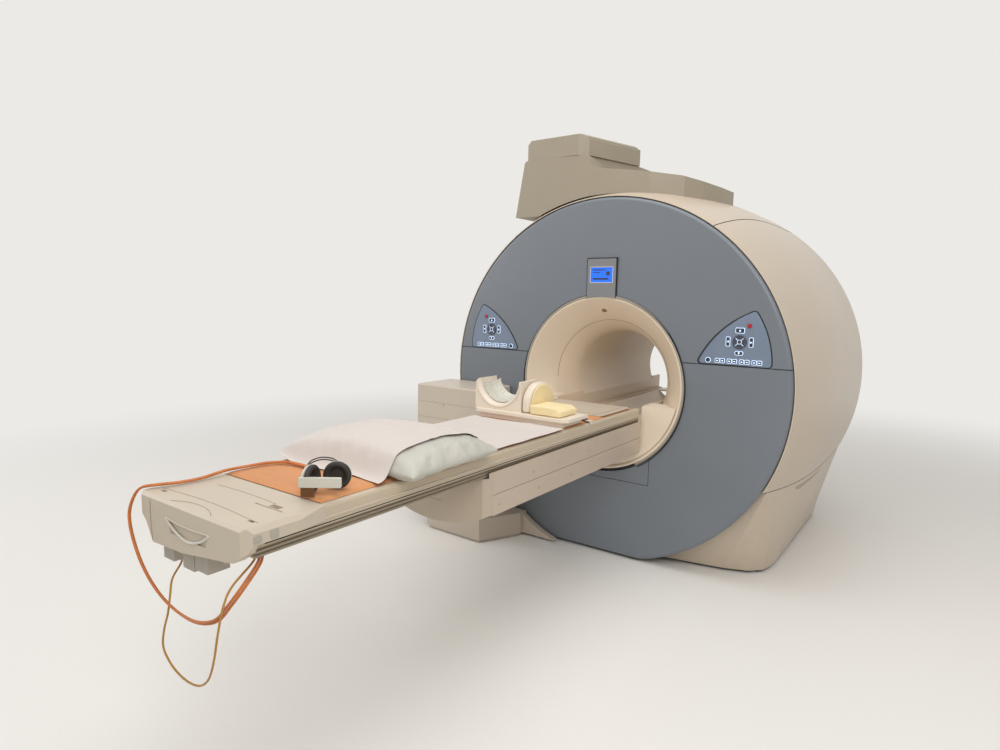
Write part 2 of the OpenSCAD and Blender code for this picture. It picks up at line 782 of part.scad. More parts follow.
module tower_base() {
    plinth = 14;
    base_back_y = front_y - front_proud - 2;
    outline = [[-1010, tower_y], [-600, tower_y - 12], [-476, -881], [-476, base_back_y],
        [-tower_x, base_back_y], [-tower_x, -1040]];
    color([0.80, 0.77, 0.70]) {
        translate([0, 0, plinth]) linear_extrude(base_h - plinth) polygon(outline);
        linear_extrude(plinth) offset(delta = -plinth) polygon(outline);
        // Skirt that runs on in front of the round cover's lower edge
        y_extrude(base_back_y - 40, base_back_y)
            polygon([[-477, plinth], [-477, 132], [-405, 84], [-330, 48], [-238, plinth]]);
    }
}

module tower_cover() {
    w = tower_wall;
    slot_y = guide_y - arm_w / 2 - 12;
    color([0.82, 0.80, 0.74])
    difference() {
        block([-tower_x, tower_y, base_h], [tower_right, tower_y + tower_d, tower_h - lid_h]);
        block([w - tower_x, tower_y + w, base_h - 1], [tower_right - w, tower_y + tower_d - w, tower_h]);
        block([tower_right - w - 1, slot_y, arm_z - lift_travel - 12],
            [tower_right + 1, slot_y + arm_w + 24, arm_z + arm_h + 12]);
        block([-tower_x - 1, tower_y - 1, 731], [tower_right + 1, tower_y + 2, 733]);
        block([-tower_x - 1, tower_y - 1, 830], [tower_right + 1, tower_y + 2, 832]);
        translate([-901, tower_y - 1, 819]) rotate([-90, 0, 0]) cylinder(h = 4, r = 7, $fn = 32);
    }
}

module tower_top() {
    color([0.84, 0.82, 0.76])
    difference() {
        block([-tower_x, tower_y, tower_h - lid_h], [tower_right, tower_y + tower_d, tower_h]);
        translate([0, tower_y, tower_h]) rotate([45, 0, 0]) cube([3000, 12, 12], center = true);
        translate([tower_right, 0, tower_h]) rotate([0, 45, 0]) cube([12, 3000, 12], center = true);
        translate([-tower_x, 0, tower_h]) rotate([0, 45, 0]) cube([12, 3000, 12], center = true);
    }
}

module lift_guides() {
    color([0.75, 0.76, 0.78])
    for (y = [guide_y - guide_gap / 2, guide_y + guide_gap / 2])
        translate([guide_x, y, base_h]) cylinder(h = tower_h - lid_h - base_h, r = guide_r, $fn = 48);
    color([0.55, 0.56, 0.58])
    translate([guide_x, guide_y, base_h]) cylinder(h = tower_h - lid_h - base_h, r = 14, $fn = 48);
}

module lift_arm() {
    color([0.50, 0.51, 0.53])
    difference() {
        union() {
            block([guide_x - 40, guide_y - guide_gap / 2 - 34, arm_z - 10],
                [guide_x + 40, guide_y + guide_gap / 2 + 34, arm_z + arm_h + 10]);
            block([guide_x + 39, guide_y - arm_w / 2, arm_z],
                [-body_half_w, guide_y + arm_w / 2, arm_z + arm_h]);
        }
        for (y = [guide_y - guide_gap / 2, guide_y + guide_gap / 2])
            translate([guide_x, y, arm_z - 20]) cylinder(h = arm_h + 40, r = guide_r + running, $fn = 48);
        translate([guide_x, guide_y, arm_z - 20]) cylinder(h = arm_h + 40, r = 14 + running, $fn = 48);
        block([guide_x + 60, guide_y - arm_w / 2 + 12, arm_z + 12],
            [1 - body_half_w, guide_y + arm_w / 2 - 12, arm_z + arm_h - 12]);
    }
}

module lift_motor() {
    color([0.30, 0.31, 0.33]) {
        translate([guide_x - 100, guide_y, arm_z]) cylinder(h = 120, r = 45, $fn = 48);
        block([guide_x - 150, guide_y - 55, arm_z + 120], [guide_x - 40, guide_y + 55, arm_z + 150]);
    }
}

// Carrier under the tabletop
head_y = front_y - 26;
carrier_y = head_y - carrier_len;
side_t = 10;
nose_len = 32;
carrier_top = table_z - table_d + 14;
carrier_low = carrier_top - carrier_h;
body_half_w = carrier_w / 2 - side_t;
body_top = table_z - table_d - 8;
body_wall = 8;
belly_r = (pow(body_half_w, 2) + pow(belly_drop, 2)) / (2 * belly_drop);

// Channel that the foot cap and its sockets pass through, in X and in depth under the tabletop's rims
channel = [[249, 75], [249, 94], [226, 108], [174, 118], [140, 122], [140, 143], [46, 143], [46, 222],
    [-238, 222], [-238, 75]];

module channel_outline() {
    polygon([for (p = channel) [p[0], table_z - p[1]]]);
}

module carrier_section(inset, half_w, top) {
    intersection() {
        translate([0, carrier_low - belly_drop + belly_r]) circle(belly_r - inset, $fn = fine);
        translate([-half_w + inset, carrier_low - belly_drop])
            square([2 * (half_w - inset), top - inset - carrier_low + belly_drop]);
    }
}

module carrier_body() {
    color([0.70, 0.67, 0.60])
    difference() {
        union() {
            y_extrude(carrier_y, head_y) carrier_section(0, body_half_w, body_top);
            for (side = [-1, 1])
                block([side * strip_x - strip_w / 2, carrier_y, body_top - 1],
                    [side * strip_x + strip_w / 2, head_y, table_z - table_d - fit]);
        }
        y_extrude(carrier_y - 1, head_y - body_wall) difference() {
            carrier_section(body_wall, body_half_w, body_top);
            offset(delta = body_wall) channel_outline();
        }
        y_extrude(carrier_y - 1, head_y + 1) channel_outline();
    }
}

module side_panels(z0, z1) {
    difference() {
        for (side = [-1, 1])
            block([side > 0 ? body_half_w : -carrier_w / 2, carrier_y, z0],
                [side > 0 ? carrier_w / 2 : -body_half_w, head_y, z1]);
        block([-carrier_w, guide_y - arm_w / 2 - 1, arm_z - 1],
            [0, guide_y + arm_w / 2 + 1, arm_z + arm_h + 1]);
    }
}

screw_r = 6;
screws_high = [-1914, -1714, -1420, -1120];
screws_low = [-2162, -1871, -1594, -1200];
side_seam_z = carrier_top - 88;
screw_high_z = carrier_top - 53;
screw_low_z = carrier_low + 38;

module screw_places(ys, z) {
    for (side = [-1, 1]) for (y = ys)
        translate([side * carrier_w / 2, y, z]) rotate([0, side * 90, 0]) children();
}

module carrier_side_upper() {
    color([0.80, 0.76, 0.68])
    difference() {
        side_panels(side_seam_z, carrier_top);
        screw_places(screws_high, screw_high_z) cylinder(h = 6, r = screw_r + fit, center = true, $fn = 32);
    }
}

module carrier_side_lower() {
    color([0.80, 0.76, 0.68])
    difference() {
        side_panels(carrier_low, side_seam_z - 2);
        screw_places(screws_low, screw_low_z) cylinder(h = 6, r = screw_r + fit, center = true, $fn = 32);
    }
}

module carrier_screws() {
    color([0.60, 0.58, 0.54]) {
        screw_places(screws_high, screw_high_z)
            translate([0, 0, -3]) cylinder(h = 3.6, r = screw_r, $fn = 32);
        screw_places(screws_low, screw_low_z)
            translate([0, 0, -3]) cylinder(h = 3.6, r = screw_r, $fn = 32);
    }
}

module carrier_nose() {
    y0 = carrier_y - nose_len;
    bevel = 28;
    w = carrier_w / 2;
    color([0.66, 0.63, 0.57])
    difference() {
        intersection() {
            y_extrude(y0, carrier_y) carrier_section(0, w, carrier_top);
            linear_extrude(carrier_top) polygon([[-w, carrier_y], [-w, y0 + bevel], [bevel - w, y0],
                [w - bevel, y0], [w, y0 + bevel], [w, carrier_y]]);
        }
        block([-body_half_w, y0 - 1, body_top], [body_half_w, carrier_y + 1, carrier_top + 9]);
        y_extrude(y0 - 1, carrier_y + 1) channel_outline();
    }
}

module drive_unit() {
    y = carrier_y + 420;
    half_w = 70;
    belly_z = carrier_low - belly_drop + belly_r;
    low_z = belly_z - sqrt(pow(belly_r - body_wall, 2) - pow(half_w, 2)) + fit;
    color([0.28, 0.29, 0.31]) {
        block([-half_w, y, low_z], [half_w, y + 180, low_z + 62]);
        translate([0, y + 180, low_z + 34]) rotate([-90, 0, 0]) cylinder(h = 150, r = 28, $fn = 48);
        block([-196, y + 30, low_z + 40], [1 - half_w, y + 120, low_z + 62]);
    }
}

// Tabletop
table_half_w = table_w / 2;
table_low = table_z - table_d;
foot_y = head_y - table_len;
cap_y = foot_y + cap_len;
rim_w = 20;
rim_h = 7;
rail_w = 12;
rail_h = 28;
rail_top = table_low + rail_h;
deck_z = table_z - rim_h;
panel_t = 36;
cap_low_z = table_z - 45;

module tabletop() {
    r = 10;
    h = table_half_w;
    core_w = h - rail_w - 2;
    color([0.85, 0.81, 0.72]) {
        y_extrude(cap_y, head_y)
            polygon([[-core_w, table_low], [core_w, table_low], [core_w, rail_top], [h, rail_top],
                [h, table_z - r], [h - 3, table_z - 3], [h - r, table_z], [h - rim_w, table_z],
                [h - rim_w, deck_z], [rim_w - h, deck_z], [rim_w - h, table_z], [r - h, table_z],
                [3 - h, table_z - 3], [-h, table_z - r], [-h, rail_top], [-core_w, rail_top]]);
        y_extrude(foot_y + panel_t, cap_y)
            polygon([[-core_w, table_low], [core_w, table_low], [core_w, rail_top], [h, rail_top],
                [h, cap_low_z - fit], [-h, cap_low_z - fit], [-h, rail_top], [-core_w, rail_top]]);
    }
}

module side_rails() {
    r = table_half_w - 2;
    groove = 3;
    steps = [0, 6, 8, 12, 14, 18, 20, 24, 26, rail_h];
    color([0.22, 0.21, 0.20])
    for (side = [-1, 1]) scale([side, 1, 1])
        y_extrude(foot_y + panel_t, head_y)
            polygon(concat([[r - rail_w, rail_top], [r - rail_w, table_low]],
                [for (i = [0 : 9]) [r - (floor((i + 1) / 2) % 2 == 1 && i > 0 && i < 9
                    && (i == 2 || i == 3 || i == 6 || i == 7) ? groove : 0), table_low + steps[i]]]));
}

// Cap with the handle on the tabletop's foot end
module foot_cap() {
    w = table_half_w + 16;
    face = [[-w, -14], [12 - w, 0], [w - 12, 0], [w, -14], [w, -45], [w - 12, -67], [w - 57, -98],
        [170, -106], [-32, -135], [-199, -142], [-233, -86], [-w, -45]];
    lip = [[-w, -14], [12 - w, 0], [w - 12, 0], [w, -14], [w, cap_low_z - table_z],
        [-w, cap_low_z - table_z]];
    module outline(points) {
        polygon([for (p = points) [p[0], table_z + p[1]]]);
    }
    color([0.88, 0.85, 0.76])
    difference() {
        union() {
            y_extrude(foot_y, foot_y + panel_t) outline(face);
            y_extrude(foot_y + panel_t - 1, cap_y) outline(lip);
            block([-196, foot_y + panel_t - 1, table_z - 135], [130, foot_y + 110, table_low - fit]);
        }
        for (side = [-1, 1]) {
            translate([side * w, foot_y, table_z - 60]) rotate([0, 0, 45])
                cube([34, 34, 300], center = true);
            translate([side * w, cap_y, table_z]) rotate([0, 0, side * 8])
                cube([26, 260, 200], center = true);
        }
        translate([0, foot_y, table_z]) rotate([45, 0, 0]) cube([900, 12, 12], center = true);
        handle_slot();
        block([96, foot_y + 146, table_z - 3], [225, cap_y - 108, table_z + 1]);
        block([150, foot_y + 155, table_z - 14], [195, foot_y + 175, table_z + 1]);
        block([212, foot_y + 50, table_z - 12], [236, foot_y + 62, table_z + 1]);
        block([-228, foot_y + 40, table_z - 12], [-200, foot_y + 52, table_z + 1]);
    }
}

module handle_slot() {
    translate([0, foot_y - 1, table_z - 40]) rotate([-90, 0, 0])
        intersection() {
            cylinder(h = 27, r = 104, $fn = 64);
            translate([-110, 16, 0]) cube([220, 34, 27]);
        }
}

module foot_sockets() {
    low = table_z - 135;
    color([0.80, 0.78, 0.70]) {
        block([-98, foot_y + panel_t, low - 70], [-37, foot_y + 104, low]);
        block([-37, foot_y + panel_t + 4, low - 50], [-33, foot_y + 100, low]);
        block([-33, foot_y + panel_t, low - 60], [34, foot_y + 104, low]);
        block([-226, foot_y + 44, low - 75], [-166, foot_y + 94, low]);
        for (p = [[-67, 76], [0, 66]]) translate([p[0], foot_y + 69, low - p[1]])
            cylinder(h = 12, r = 18, $fn = 32);
    }
}

// What lies on the tabletop
mattress_top = deck_z + fit + mattress_t;
plate_y = -1640;
plate_len = 210;
plate_h = 39;
plate_top = mattress_top + 1 + plate_h;

module mattress() {
    h = table_half_w - rim_w - 2;
    color([0.78, 0.50, 0.32])
    block([-h, cap_y + 4, deck_z + fit], [h, head_y - 60, mattress_top]);
}

pillow_low = mattress_top + fit;
pillow_h = 112;
pillow_x = 35;
pillow_y = -2500;
pillow_w = 660;
pillow_l = 520;

// Crowned cushion with a flat underside
module cushion(w, l, h, edge, n) {
    function crown(u) = pow(max(0, 1 - pow(abs(u), 2.4)), 0.5);
    function spread(k) = sin(90 * (2 * k / n - 1));
    upper = [for (i = [0 : n]) [for (j = [0 : n]) let (u = spread(i), v = spread(j))
        [w / 2 * u, l / 2 * v, edge + (h - edge) * crown(u) * crown(v)]]];
    lower = [for (row = upper) [for (p = row) [p[0], p[1], 0]]];
    wall_loft(upper, lower);
}

module pillow() {
    color([0.83, 0.85, 0.80])
    translate([pillow_x, pillow_y, pillow_low]) rotate([0, 0, 3])
        cushion(pillow_w, pillow_l, pillow_h, 14, 12);
}

sheet_t = 3;
sheet_w = 524;

module sheet() {
    top = pillow_low + pillow_h + 2;
    flat = mattress_top + fit;
    path = [[plate_y - 4, flat], [-2200, flat], [-2218, flat + 18], [-2250, flat + 62], [-2320, top - 16],
        [-2420, top - 2], [-2500, top], [-2600, top - 4], [-2690, top - 20], [-2740, top - 44],
        [-2774, top - 88], [-2782, flat + 10]];
    color([0.90, 0.88, 0.91])
    translate([-sheet_w / 2, 0, 0]) rotate([90, 0, 90]) linear_extrude(sheet_w)
        polygon(concat([for (p = path) [p[0], p[1] + sheet_t]],
            [for (i = [len(path) - 1 : -1 : 0]) path[i]]));
}

module coil_plate() {
    h = table_half_w + 5;
    color([0.90, 0.86, 0.74])
    difference() {
        union() {
            block([-h, plate_y, plate_top - 15], [h, plate_y + plate_len, plate_top]);
            block([-h + 30, plate_y + 14, mattress_top + fit],
                [h - 30, plate_y + plate_len - 10, plate_top - 14]);
        }
        for (side = [-1, 1]) translate([side * h, plate_y, plate_top])
            rotate([0, 0, 45]) cube([36, 36, 200], center = true);
    }
}

coil_y = -1600;
coil_h = 146;
coil_x = -284;
coil_w = 278;
coil_d = 150;
cup_r = 117;
coil_ease = 18;

module head_coil() {
    mid_x = coil_x + coil_w / 2;
    top = plate_top + coil_h;
    color([0.92, 0.89, 0.80])
    difference() {
        block([coil_x, coil_y, plate_top], [coil_x + coil_w, coil_y + coil_d, top]);
        y_cylinder(cup_r, coil_y - 1, coil_y + coil_d + 1, top, mid_x);
        translate([mid_x, coil_y, top]) rotate([-90, 0, 0])
            cylinder(h = 24, r1 = cup_r + 16, r2 = cup_r, center = true, $fn = fine);
        block([coil_x + coil_w - 34, coil_y - 1, top - 22], [coil_x + coil_w - 18, coil_y + 60, top + 1]);
        translate([coil_x, coil_y, top]) rotate([0, 45, 0])
            cube([coil_ease * sqrt(2), 900, coil_ease * sqrt(2)], center = true);
    }
}

module head_cushion() {
    wing_x = coil_x + coil_w + 6;
    wing_t = 52;
    base_w = 185;
    base_l = 170;
    base_h = 46;
    arch_y = -1490;
    arch_r = 114;
    y0 = -1624;
    arch = [for (a = [180 : -15 : 0]) [arch_y + arch_r * cos(a), plate_top + 46 + 98 * sin(a)]];
    color([0.90, 0.80, 0.55]) {
        translate([wing_x, 0, 0]) rotate([90, 0, 90]) linear_extrude(wing_t)
            polygon(concat([[arch_y - arch_r, plate_top + fit]], arch,
                [[arch_y + arch_r, plate_top + fit]]));
        block([wing_x + wing_t - 1, y0 + 8, plate_top + fit],
            [wing_x + wing_t + base_w - 12, y0 + base_l, plate_top + base_h]);
    }
}

phones_y = -2975;
phones_z = mattress_top + fit;

module headphones() {
    cup_r = 44;
    color([0.30, 0.28, 0.26]) {
        translate([150, phones_y, phones_z + cup_r]) rotate([0, 90, -25])
            cylinder(h = 34, r = cup_r, $fn = 40);
        translate([196, phones_y + 92, phones_z + cup_r]) rotate([0, 90, 155])
            cylinder(h = 34, r = cup_r, $fn = 40);
        hull() {
            translate([150, phones_y, phones_z + 4]) cube([60, 14, 34]);
            translate([180, phones_y + 92, phones_z + 4]) cube([30, 10, 34]);
        }
    }
}

// Hoses and cables: a tube swept along points chosen by hand
hose_d = 16;
cable_d = 6;
hose_path = [[120, -2930, 921], [84, -2880, 915], [30, -2836, 912], [-40, -2806, 912], [-110, -2798, 912],
    [-170, -2810, 912], [-208, -2854, 912], [-220, -2930, 912], [-222, -3000, 913], [-224, -3080, 905],
    [-232, -3150, 905], [-254, -3206, 906], [-289, -3240, 895], [-300, -3262, 850], [-296, -3270, 800],
    [-262, -3272, 730], [-205, -3272, 666], [-120, -3272, 618], [-20, -3272, 596], [80, -3272, 600],
    [170, -3270, 634], [224, -3262, 690], [244, -3230, 740], [232, -3184, 774],
    [228, -3172, 792], [228, -3172, 807.2]];
cable_path = [[-180, -3176, 684.5], [-179, -3180, 668], [-150, -3222, 642], [-120, -3246, 604],
    [-120, -3254, 556], [-130, -3262, 506], [-128, -3268, 458], [-98, -3268, 424],
        [-50, -3268, 404], [12, -3268, 398],
    [76, -3270, 414], [132, -3276, 458], [176, -3284, 530], [202, -3286, 610], [222, -3280, 690],
    [224, -3256, 736], [210, -3188, 774],
    [206, -3172, 792], [206, -3172, 807.5]];

function unit(v) = v / norm(v);
function along(path, t) = let (n = len(path) - 1, i = min(n - 1, floor(t)), f = t - i,
    p = path[i], q = path[i + 1], a = i > 0 ? (q - path[i - 1]) / 2 : q - p,
    b = i < n - 1 ? (path[i + 2] - p) / 2 : q - p)
    p * (2 * f * f * f - 3 * f * f + 1) + a * (f * f * f - 2 * f * f + f)
    + q * (3 * f * f - 2 * f * f * f) + b * (f * f * f - f * f);

module tube(path, d, sides, steps) {
    n = (len(path) - 1) * steps;
    centre = [for (i = [0 : n]) along(path, i / steps)];
    dir = [for (i = [0 : n]) unit(centre[min(n, i + 1)] - centre[max(0, i - 1)])];
    guide = [0.23, 0.31, 0.92];
    rings = [for (i = [0 : n]) let (u = unit(cross(dir[i], guide)), v = cross(u, dir[i]))
        for (k = [0 : sides - 1])
            centre[i] + d / 2 * (u * cos(360 * k / sides) + v * sin(360 * k / sides))];
    walls = [for (i = [0 : n - 1]) for (k = [0 : sides - 1])
        let (a = i * sides + k, b = i * sides + (k + 1) % sides)
        each [[a, b + sides, a + sides], [a, b, b + sides]]];
    caps = [[for (k = [sides - 1 : -1 : 0]) k], [for (k = [0 : sides - 1]) n * sides + k]];
    polyhedron(rings, concat(walls, caps));
}

module air_hoses() {
    color([0.80, 0.38, 0.10]) tube(hose_path, hose_d, 8, 3);
}

module thin_cable() {
    color([0.75, 0.55, 0.20]) tube(cable_path, cable_d, 8, 3);
}

magnet_feet();
vacuum_vessel();
helium_vessel();
magnet_coils();
gradient_coil();
body_coil();
cold_head();
cover_frame();
bore_tube();
throat_ring();
front_funnel();
rear_funnel();
bore_sill();
bore_bed();
ring_trim();
laser_window();
front_cover_upper();
front_cover_lower();
front_hatch();
top_cover();
side_cover_right();
side_cover_left();
foot_cover_right();
foot_cover_left();
rear_cover();
turret_cover();
turret_cap();
display_case();
display_screen();
control_panel();  // control_panel_right
on_left() control_panel();  // control_panel_left
stop_button();  // stop_button_right
on_left() stop_button();  // stop_button_left
centre_knob();  // centre_knob_right
on_left() centre_knob();  // centre_knob_left
tower_base();
tower_cover();
tower_top();
lift_guides();
lift_arm();
lift_motor();
carrier_body();
carrier_side_upper();
carrier_side_lower();
carrier_nose();
carrier_screws();
drive_unit();
tabletop();
side_rails();
foot_cap();
foot_sockets();
mattress();
sheet();
pillow();
coil_plate();
head_coil();
head_cushion();
headphones();
air_hoses();
thin_cable();
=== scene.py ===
"""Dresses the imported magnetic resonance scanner: covers, tunnel, controls, table and soft goods."""
import math

import bmesh
import bpy
from bpy.props import FloatProperty, FloatVectorProperty, PointerProperty
from mathutils import Matrix, Vector, noise
from mathutils.bvhtree import BVHTree


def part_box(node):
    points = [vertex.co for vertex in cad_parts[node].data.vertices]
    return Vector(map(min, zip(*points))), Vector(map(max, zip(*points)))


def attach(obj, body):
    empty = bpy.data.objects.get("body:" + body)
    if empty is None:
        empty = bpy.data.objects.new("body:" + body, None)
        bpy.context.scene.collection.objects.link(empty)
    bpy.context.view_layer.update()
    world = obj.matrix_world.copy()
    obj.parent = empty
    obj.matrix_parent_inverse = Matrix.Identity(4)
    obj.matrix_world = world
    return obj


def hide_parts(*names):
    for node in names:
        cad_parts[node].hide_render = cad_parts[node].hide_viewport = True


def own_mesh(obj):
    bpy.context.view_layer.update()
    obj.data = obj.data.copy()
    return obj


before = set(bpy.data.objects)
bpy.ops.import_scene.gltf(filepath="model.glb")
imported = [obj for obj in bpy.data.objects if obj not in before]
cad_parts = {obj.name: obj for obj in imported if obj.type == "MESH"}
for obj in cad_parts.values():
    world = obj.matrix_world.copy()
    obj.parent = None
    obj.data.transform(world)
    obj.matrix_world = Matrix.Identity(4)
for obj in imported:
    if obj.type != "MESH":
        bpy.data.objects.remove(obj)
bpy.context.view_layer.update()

bl_info = {
    "name": "Magnetic resonance scanner",
    "version": (1, 0, 0),
    "blender": (4, 5, 0),
    "location": "3D View > Sidebar > Scanner",
    "description": "Dresses a whole-body scanner and its patient table",
    "category": "Object",
}


def paint(red, green, blue):
    """Linear colour from the usual values of 0 to 255."""
    return tuple(((c / 255 + 0.055) / 1.055) ** 2.4 for c in (red, green, blue))


def colour(name, description, red, green, blue):
    return FloatVectorProperty(name=name, description=description, subtype="COLOR", size=3,
                               min=0, max=1, default=paint(red, green, blue))


def size(name, description, default):
    return FloatProperty(name=name, description=description, unit="LENGTH", default=default)


def turn(name, description, degrees):
    return FloatProperty(name=name, description=description, unit="ROTATION",
                         default=math.radians(degrees))


def power(name, description, default):
    return FloatProperty(name=name, description=description, unit="POWER", default=default)


# ---------------------------------------------------------------- sizes and colours

class ScannerView(bpy.types.PropertyGroup):
    place: FloatVectorProperty(name="Camera place", description="Where the camera stands",
                               unit="LENGTH", subtype="TRANSLATION", size=3,
                               default=(1.6955, -4.1263, 1.4851))
    yaw: turn("Yaw", "Camera's turn to the left of the tunnel's line", 35.91)
    pitch: turn("Pitch", "Camera's tilt above the level", -6.76)
    roll: turn("Roll", "Camera's lean", 1.03)
    lens: FloatProperty(name="Lens", description="Focal length in millimetres", default=22.99)
    key_power: power("Key light", "Power of the large light", 150)
    fill_power: power("Fill light", "Power of the side light", 60)
    top_power: power("Top light", "Power of the light above", 120)
    sky: FloatProperty(name="Sky", description="Strength of the even light from all round",
                       default=0.42)


class CoverSizes(bpy.types.PropertyGroup):
    front_radius: size("Front radius", "Radius of the round front cover", 1.050)
    axis_height: size("Axis height", "Height of the middle of the round covers", 1.019)
    front: size("Front", "Place of the front cover's rim along the tunnel", -0.800)
    back: size("Back", "Place of the covers' back end", 0.800)
    rise: size("Rise", "How far the barrel's radius grows behind the front", 0.118)
    drop: size("Drop", "How far the barrel's radius falls again at the back", 0.065)
    wall: size("Wall", "Wall of the barrel covers", 0.006)
    seam: size("Seam", "Gap between two covers", 0.003)
    low_seam: size("Low seam", "Height of the seam above the foot covers", 0.528)
    top_seam: turn("Top seam", "Angle of the top cover's seams", 54.5)
    tunnel_height: size("Tunnel height", "Height of the tunnel's axis", 1.011)


class TableSizes(bpy.types.PropertyGroup):
    width: size("Width", "Width of the tabletop", 0.530)
    mattress_top: size("Mattress top", "Height of the mattress", 0.9034)
    pillow_width: size("Pillow width", "Width of the pillow", 0.660)
    pillow_length: size("Pillow length", "Length of the pillow along the table", 0.520)
    pillow_height: size("Pillow height", "Height of the pillow", 0.112)
    sheet_width: size("Sheet width", "Width of the sheet", 0.520)
    hose_bore: size("Hose", "Diameter of one air hose", 0.008)
    cable_width: size("Cable", "Diameter of the thin cable", 0.006)


class ScannerColours(bpy.types.PropertyGroup):
    feet_steel: colour("Feet", "Painted steel of the feet and the frame", 92, 94, 98)
    vessel_steel: colour("Vessel", "Steel of the magnet's vessels", 186, 188, 190)
    winding: colour("Windings", "Copper windings", 190, 116, 66)
    resin_dark: colour("Gradient coil", "Dark resin of the gradient coil", 52, 56, 62)
    resin_tan: colour("Body coil", "Tan resin of the body coil", 190, 156, 110)
    tunnel_cream: colour("Tunnel", "Lining of the tunnel", 232, 216, 194)
    ring_grey: colour("Ring", "Trim round the mouth", 166, 156, 144)
    # The next colour is partly the window's own smoked amber and partly painted light: lightened to
    # gold for the glow of the positioning laser.
    laser_glass: colour("Laser window", "Smoked window of the laser", 132, 98, 48)
    front_blue: colour("Front", "Blue-grey paint of the front cover", 113, 119, 126)
    cover_cream: colour("Covers", "Cream paint of the barrel covers", 195, 180, 161)
    # The next colour is the covers' cream darkened as painted shade: for the turret, and for the
    # shade in the foot cover's grip slot.
    turret_cream: colour("Turret", "Cream paint of the housing on top", 156, 145, 126)
    display_grey: colour("Display case", "Case round the display", 126, 127, 129)
    display_blue: colour("Display", "Lit display", 26, 98, 226)
    panel_blue: colour("Panels", "Control panels", 118, 131, 150)
    stop_red: colour("Stop button", "Red stop button", 168, 30, 38)
    knob_dark: colour("Knob", "Dark centre knob", 62, 66, 78)
    tower_white: colour("Tower", "Paint of the lifting tower", 195, 182, 166)
    guide_steel: colour("Guides", "Ground steel of the lift's guides", 180, 182, 184)
    arm_steel: colour("Arm", "Painted steel of the lift's arm", 120, 122, 126)
    carrier_cream: colour("Carrier", "Paint of the carrier's belly and nose", 182, 168, 150)
    carrier_side: colour("Carrier sides", "Paint of the carrier's side panels", 193, 176, 158)
    screw_cap: colour("Screw caps", "Caps of the side panels' screws", 176, 162, 145)
    table_cream: colour("Tabletop", "Moulding of the tabletop", 195, 179, 156)
    rail_dark: colour("Rails", "Ribbed metal rails under the tabletop", 158, 147, 130)
    cap_cream: colour("Foot cap", "Moulding of the foot cap", 197, 184, 165)
    socket_grey: colour("Sockets", "Sockets under the foot cap", 172, 166, 154)
    mattress_orange: colour("Mattress", "Orange cloth of the mattress", 206, 142, 92)
    sheet_cloth: colour("Sheet", "White sheet", 210, 200, 193)
    pillow_cloth: colour("Pillow", "Pale cover of the pillow", 192, 189, 178)
    coil_cream: colour("Head coil", "Moulding of the head coil and its plate", 229, 216, 198)
    cushion_yellow: colour("Head cushion", "Yellow foam of the head cushion", 240, 220, 170)
    headphone_dark: colour("Headphones", "Dark pads of the headphones", 44, 38, 34)
    hose_orange: colour("Hoses", "Orange air hoses", 196, 112, 48)
    cable_yellow: colour("Cable", "Yellow thin cable", 176, 130, 52)
    # The next colour is painted shade: the near-black drawn into the gaps between covers, round the
    # ring, display and panels, and into a groove of the rails.
    gasket: colour("Gasket", "Black gasket in the seams", 22, 22, 22)
    glow: colour("Lit marks", "Lit marks round the keys", 205, 226, 255)
    mark: colour("Marks", "Dark marks on the keys", 44, 50, 62)
    strap: colour("Strap", "Brown strap of the headphones", 104, 66, 30)
    band: colour("Band", "Pale band of the headphones", 206, 203, 190)
    floor: colour("Floor", "Pale studio floor", 236, 233, 228)
    backdrop: colour("Backdrop", "Pale backdrop", 236, 234, 230)


def hues():
    return bpy.context.scene.scanner_colours


def covers():
    return bpy.context.scene.cover_sizes


def table():
    return bpy.context.scene.table_sizes


# ---------------------------------------------------------------- finishes

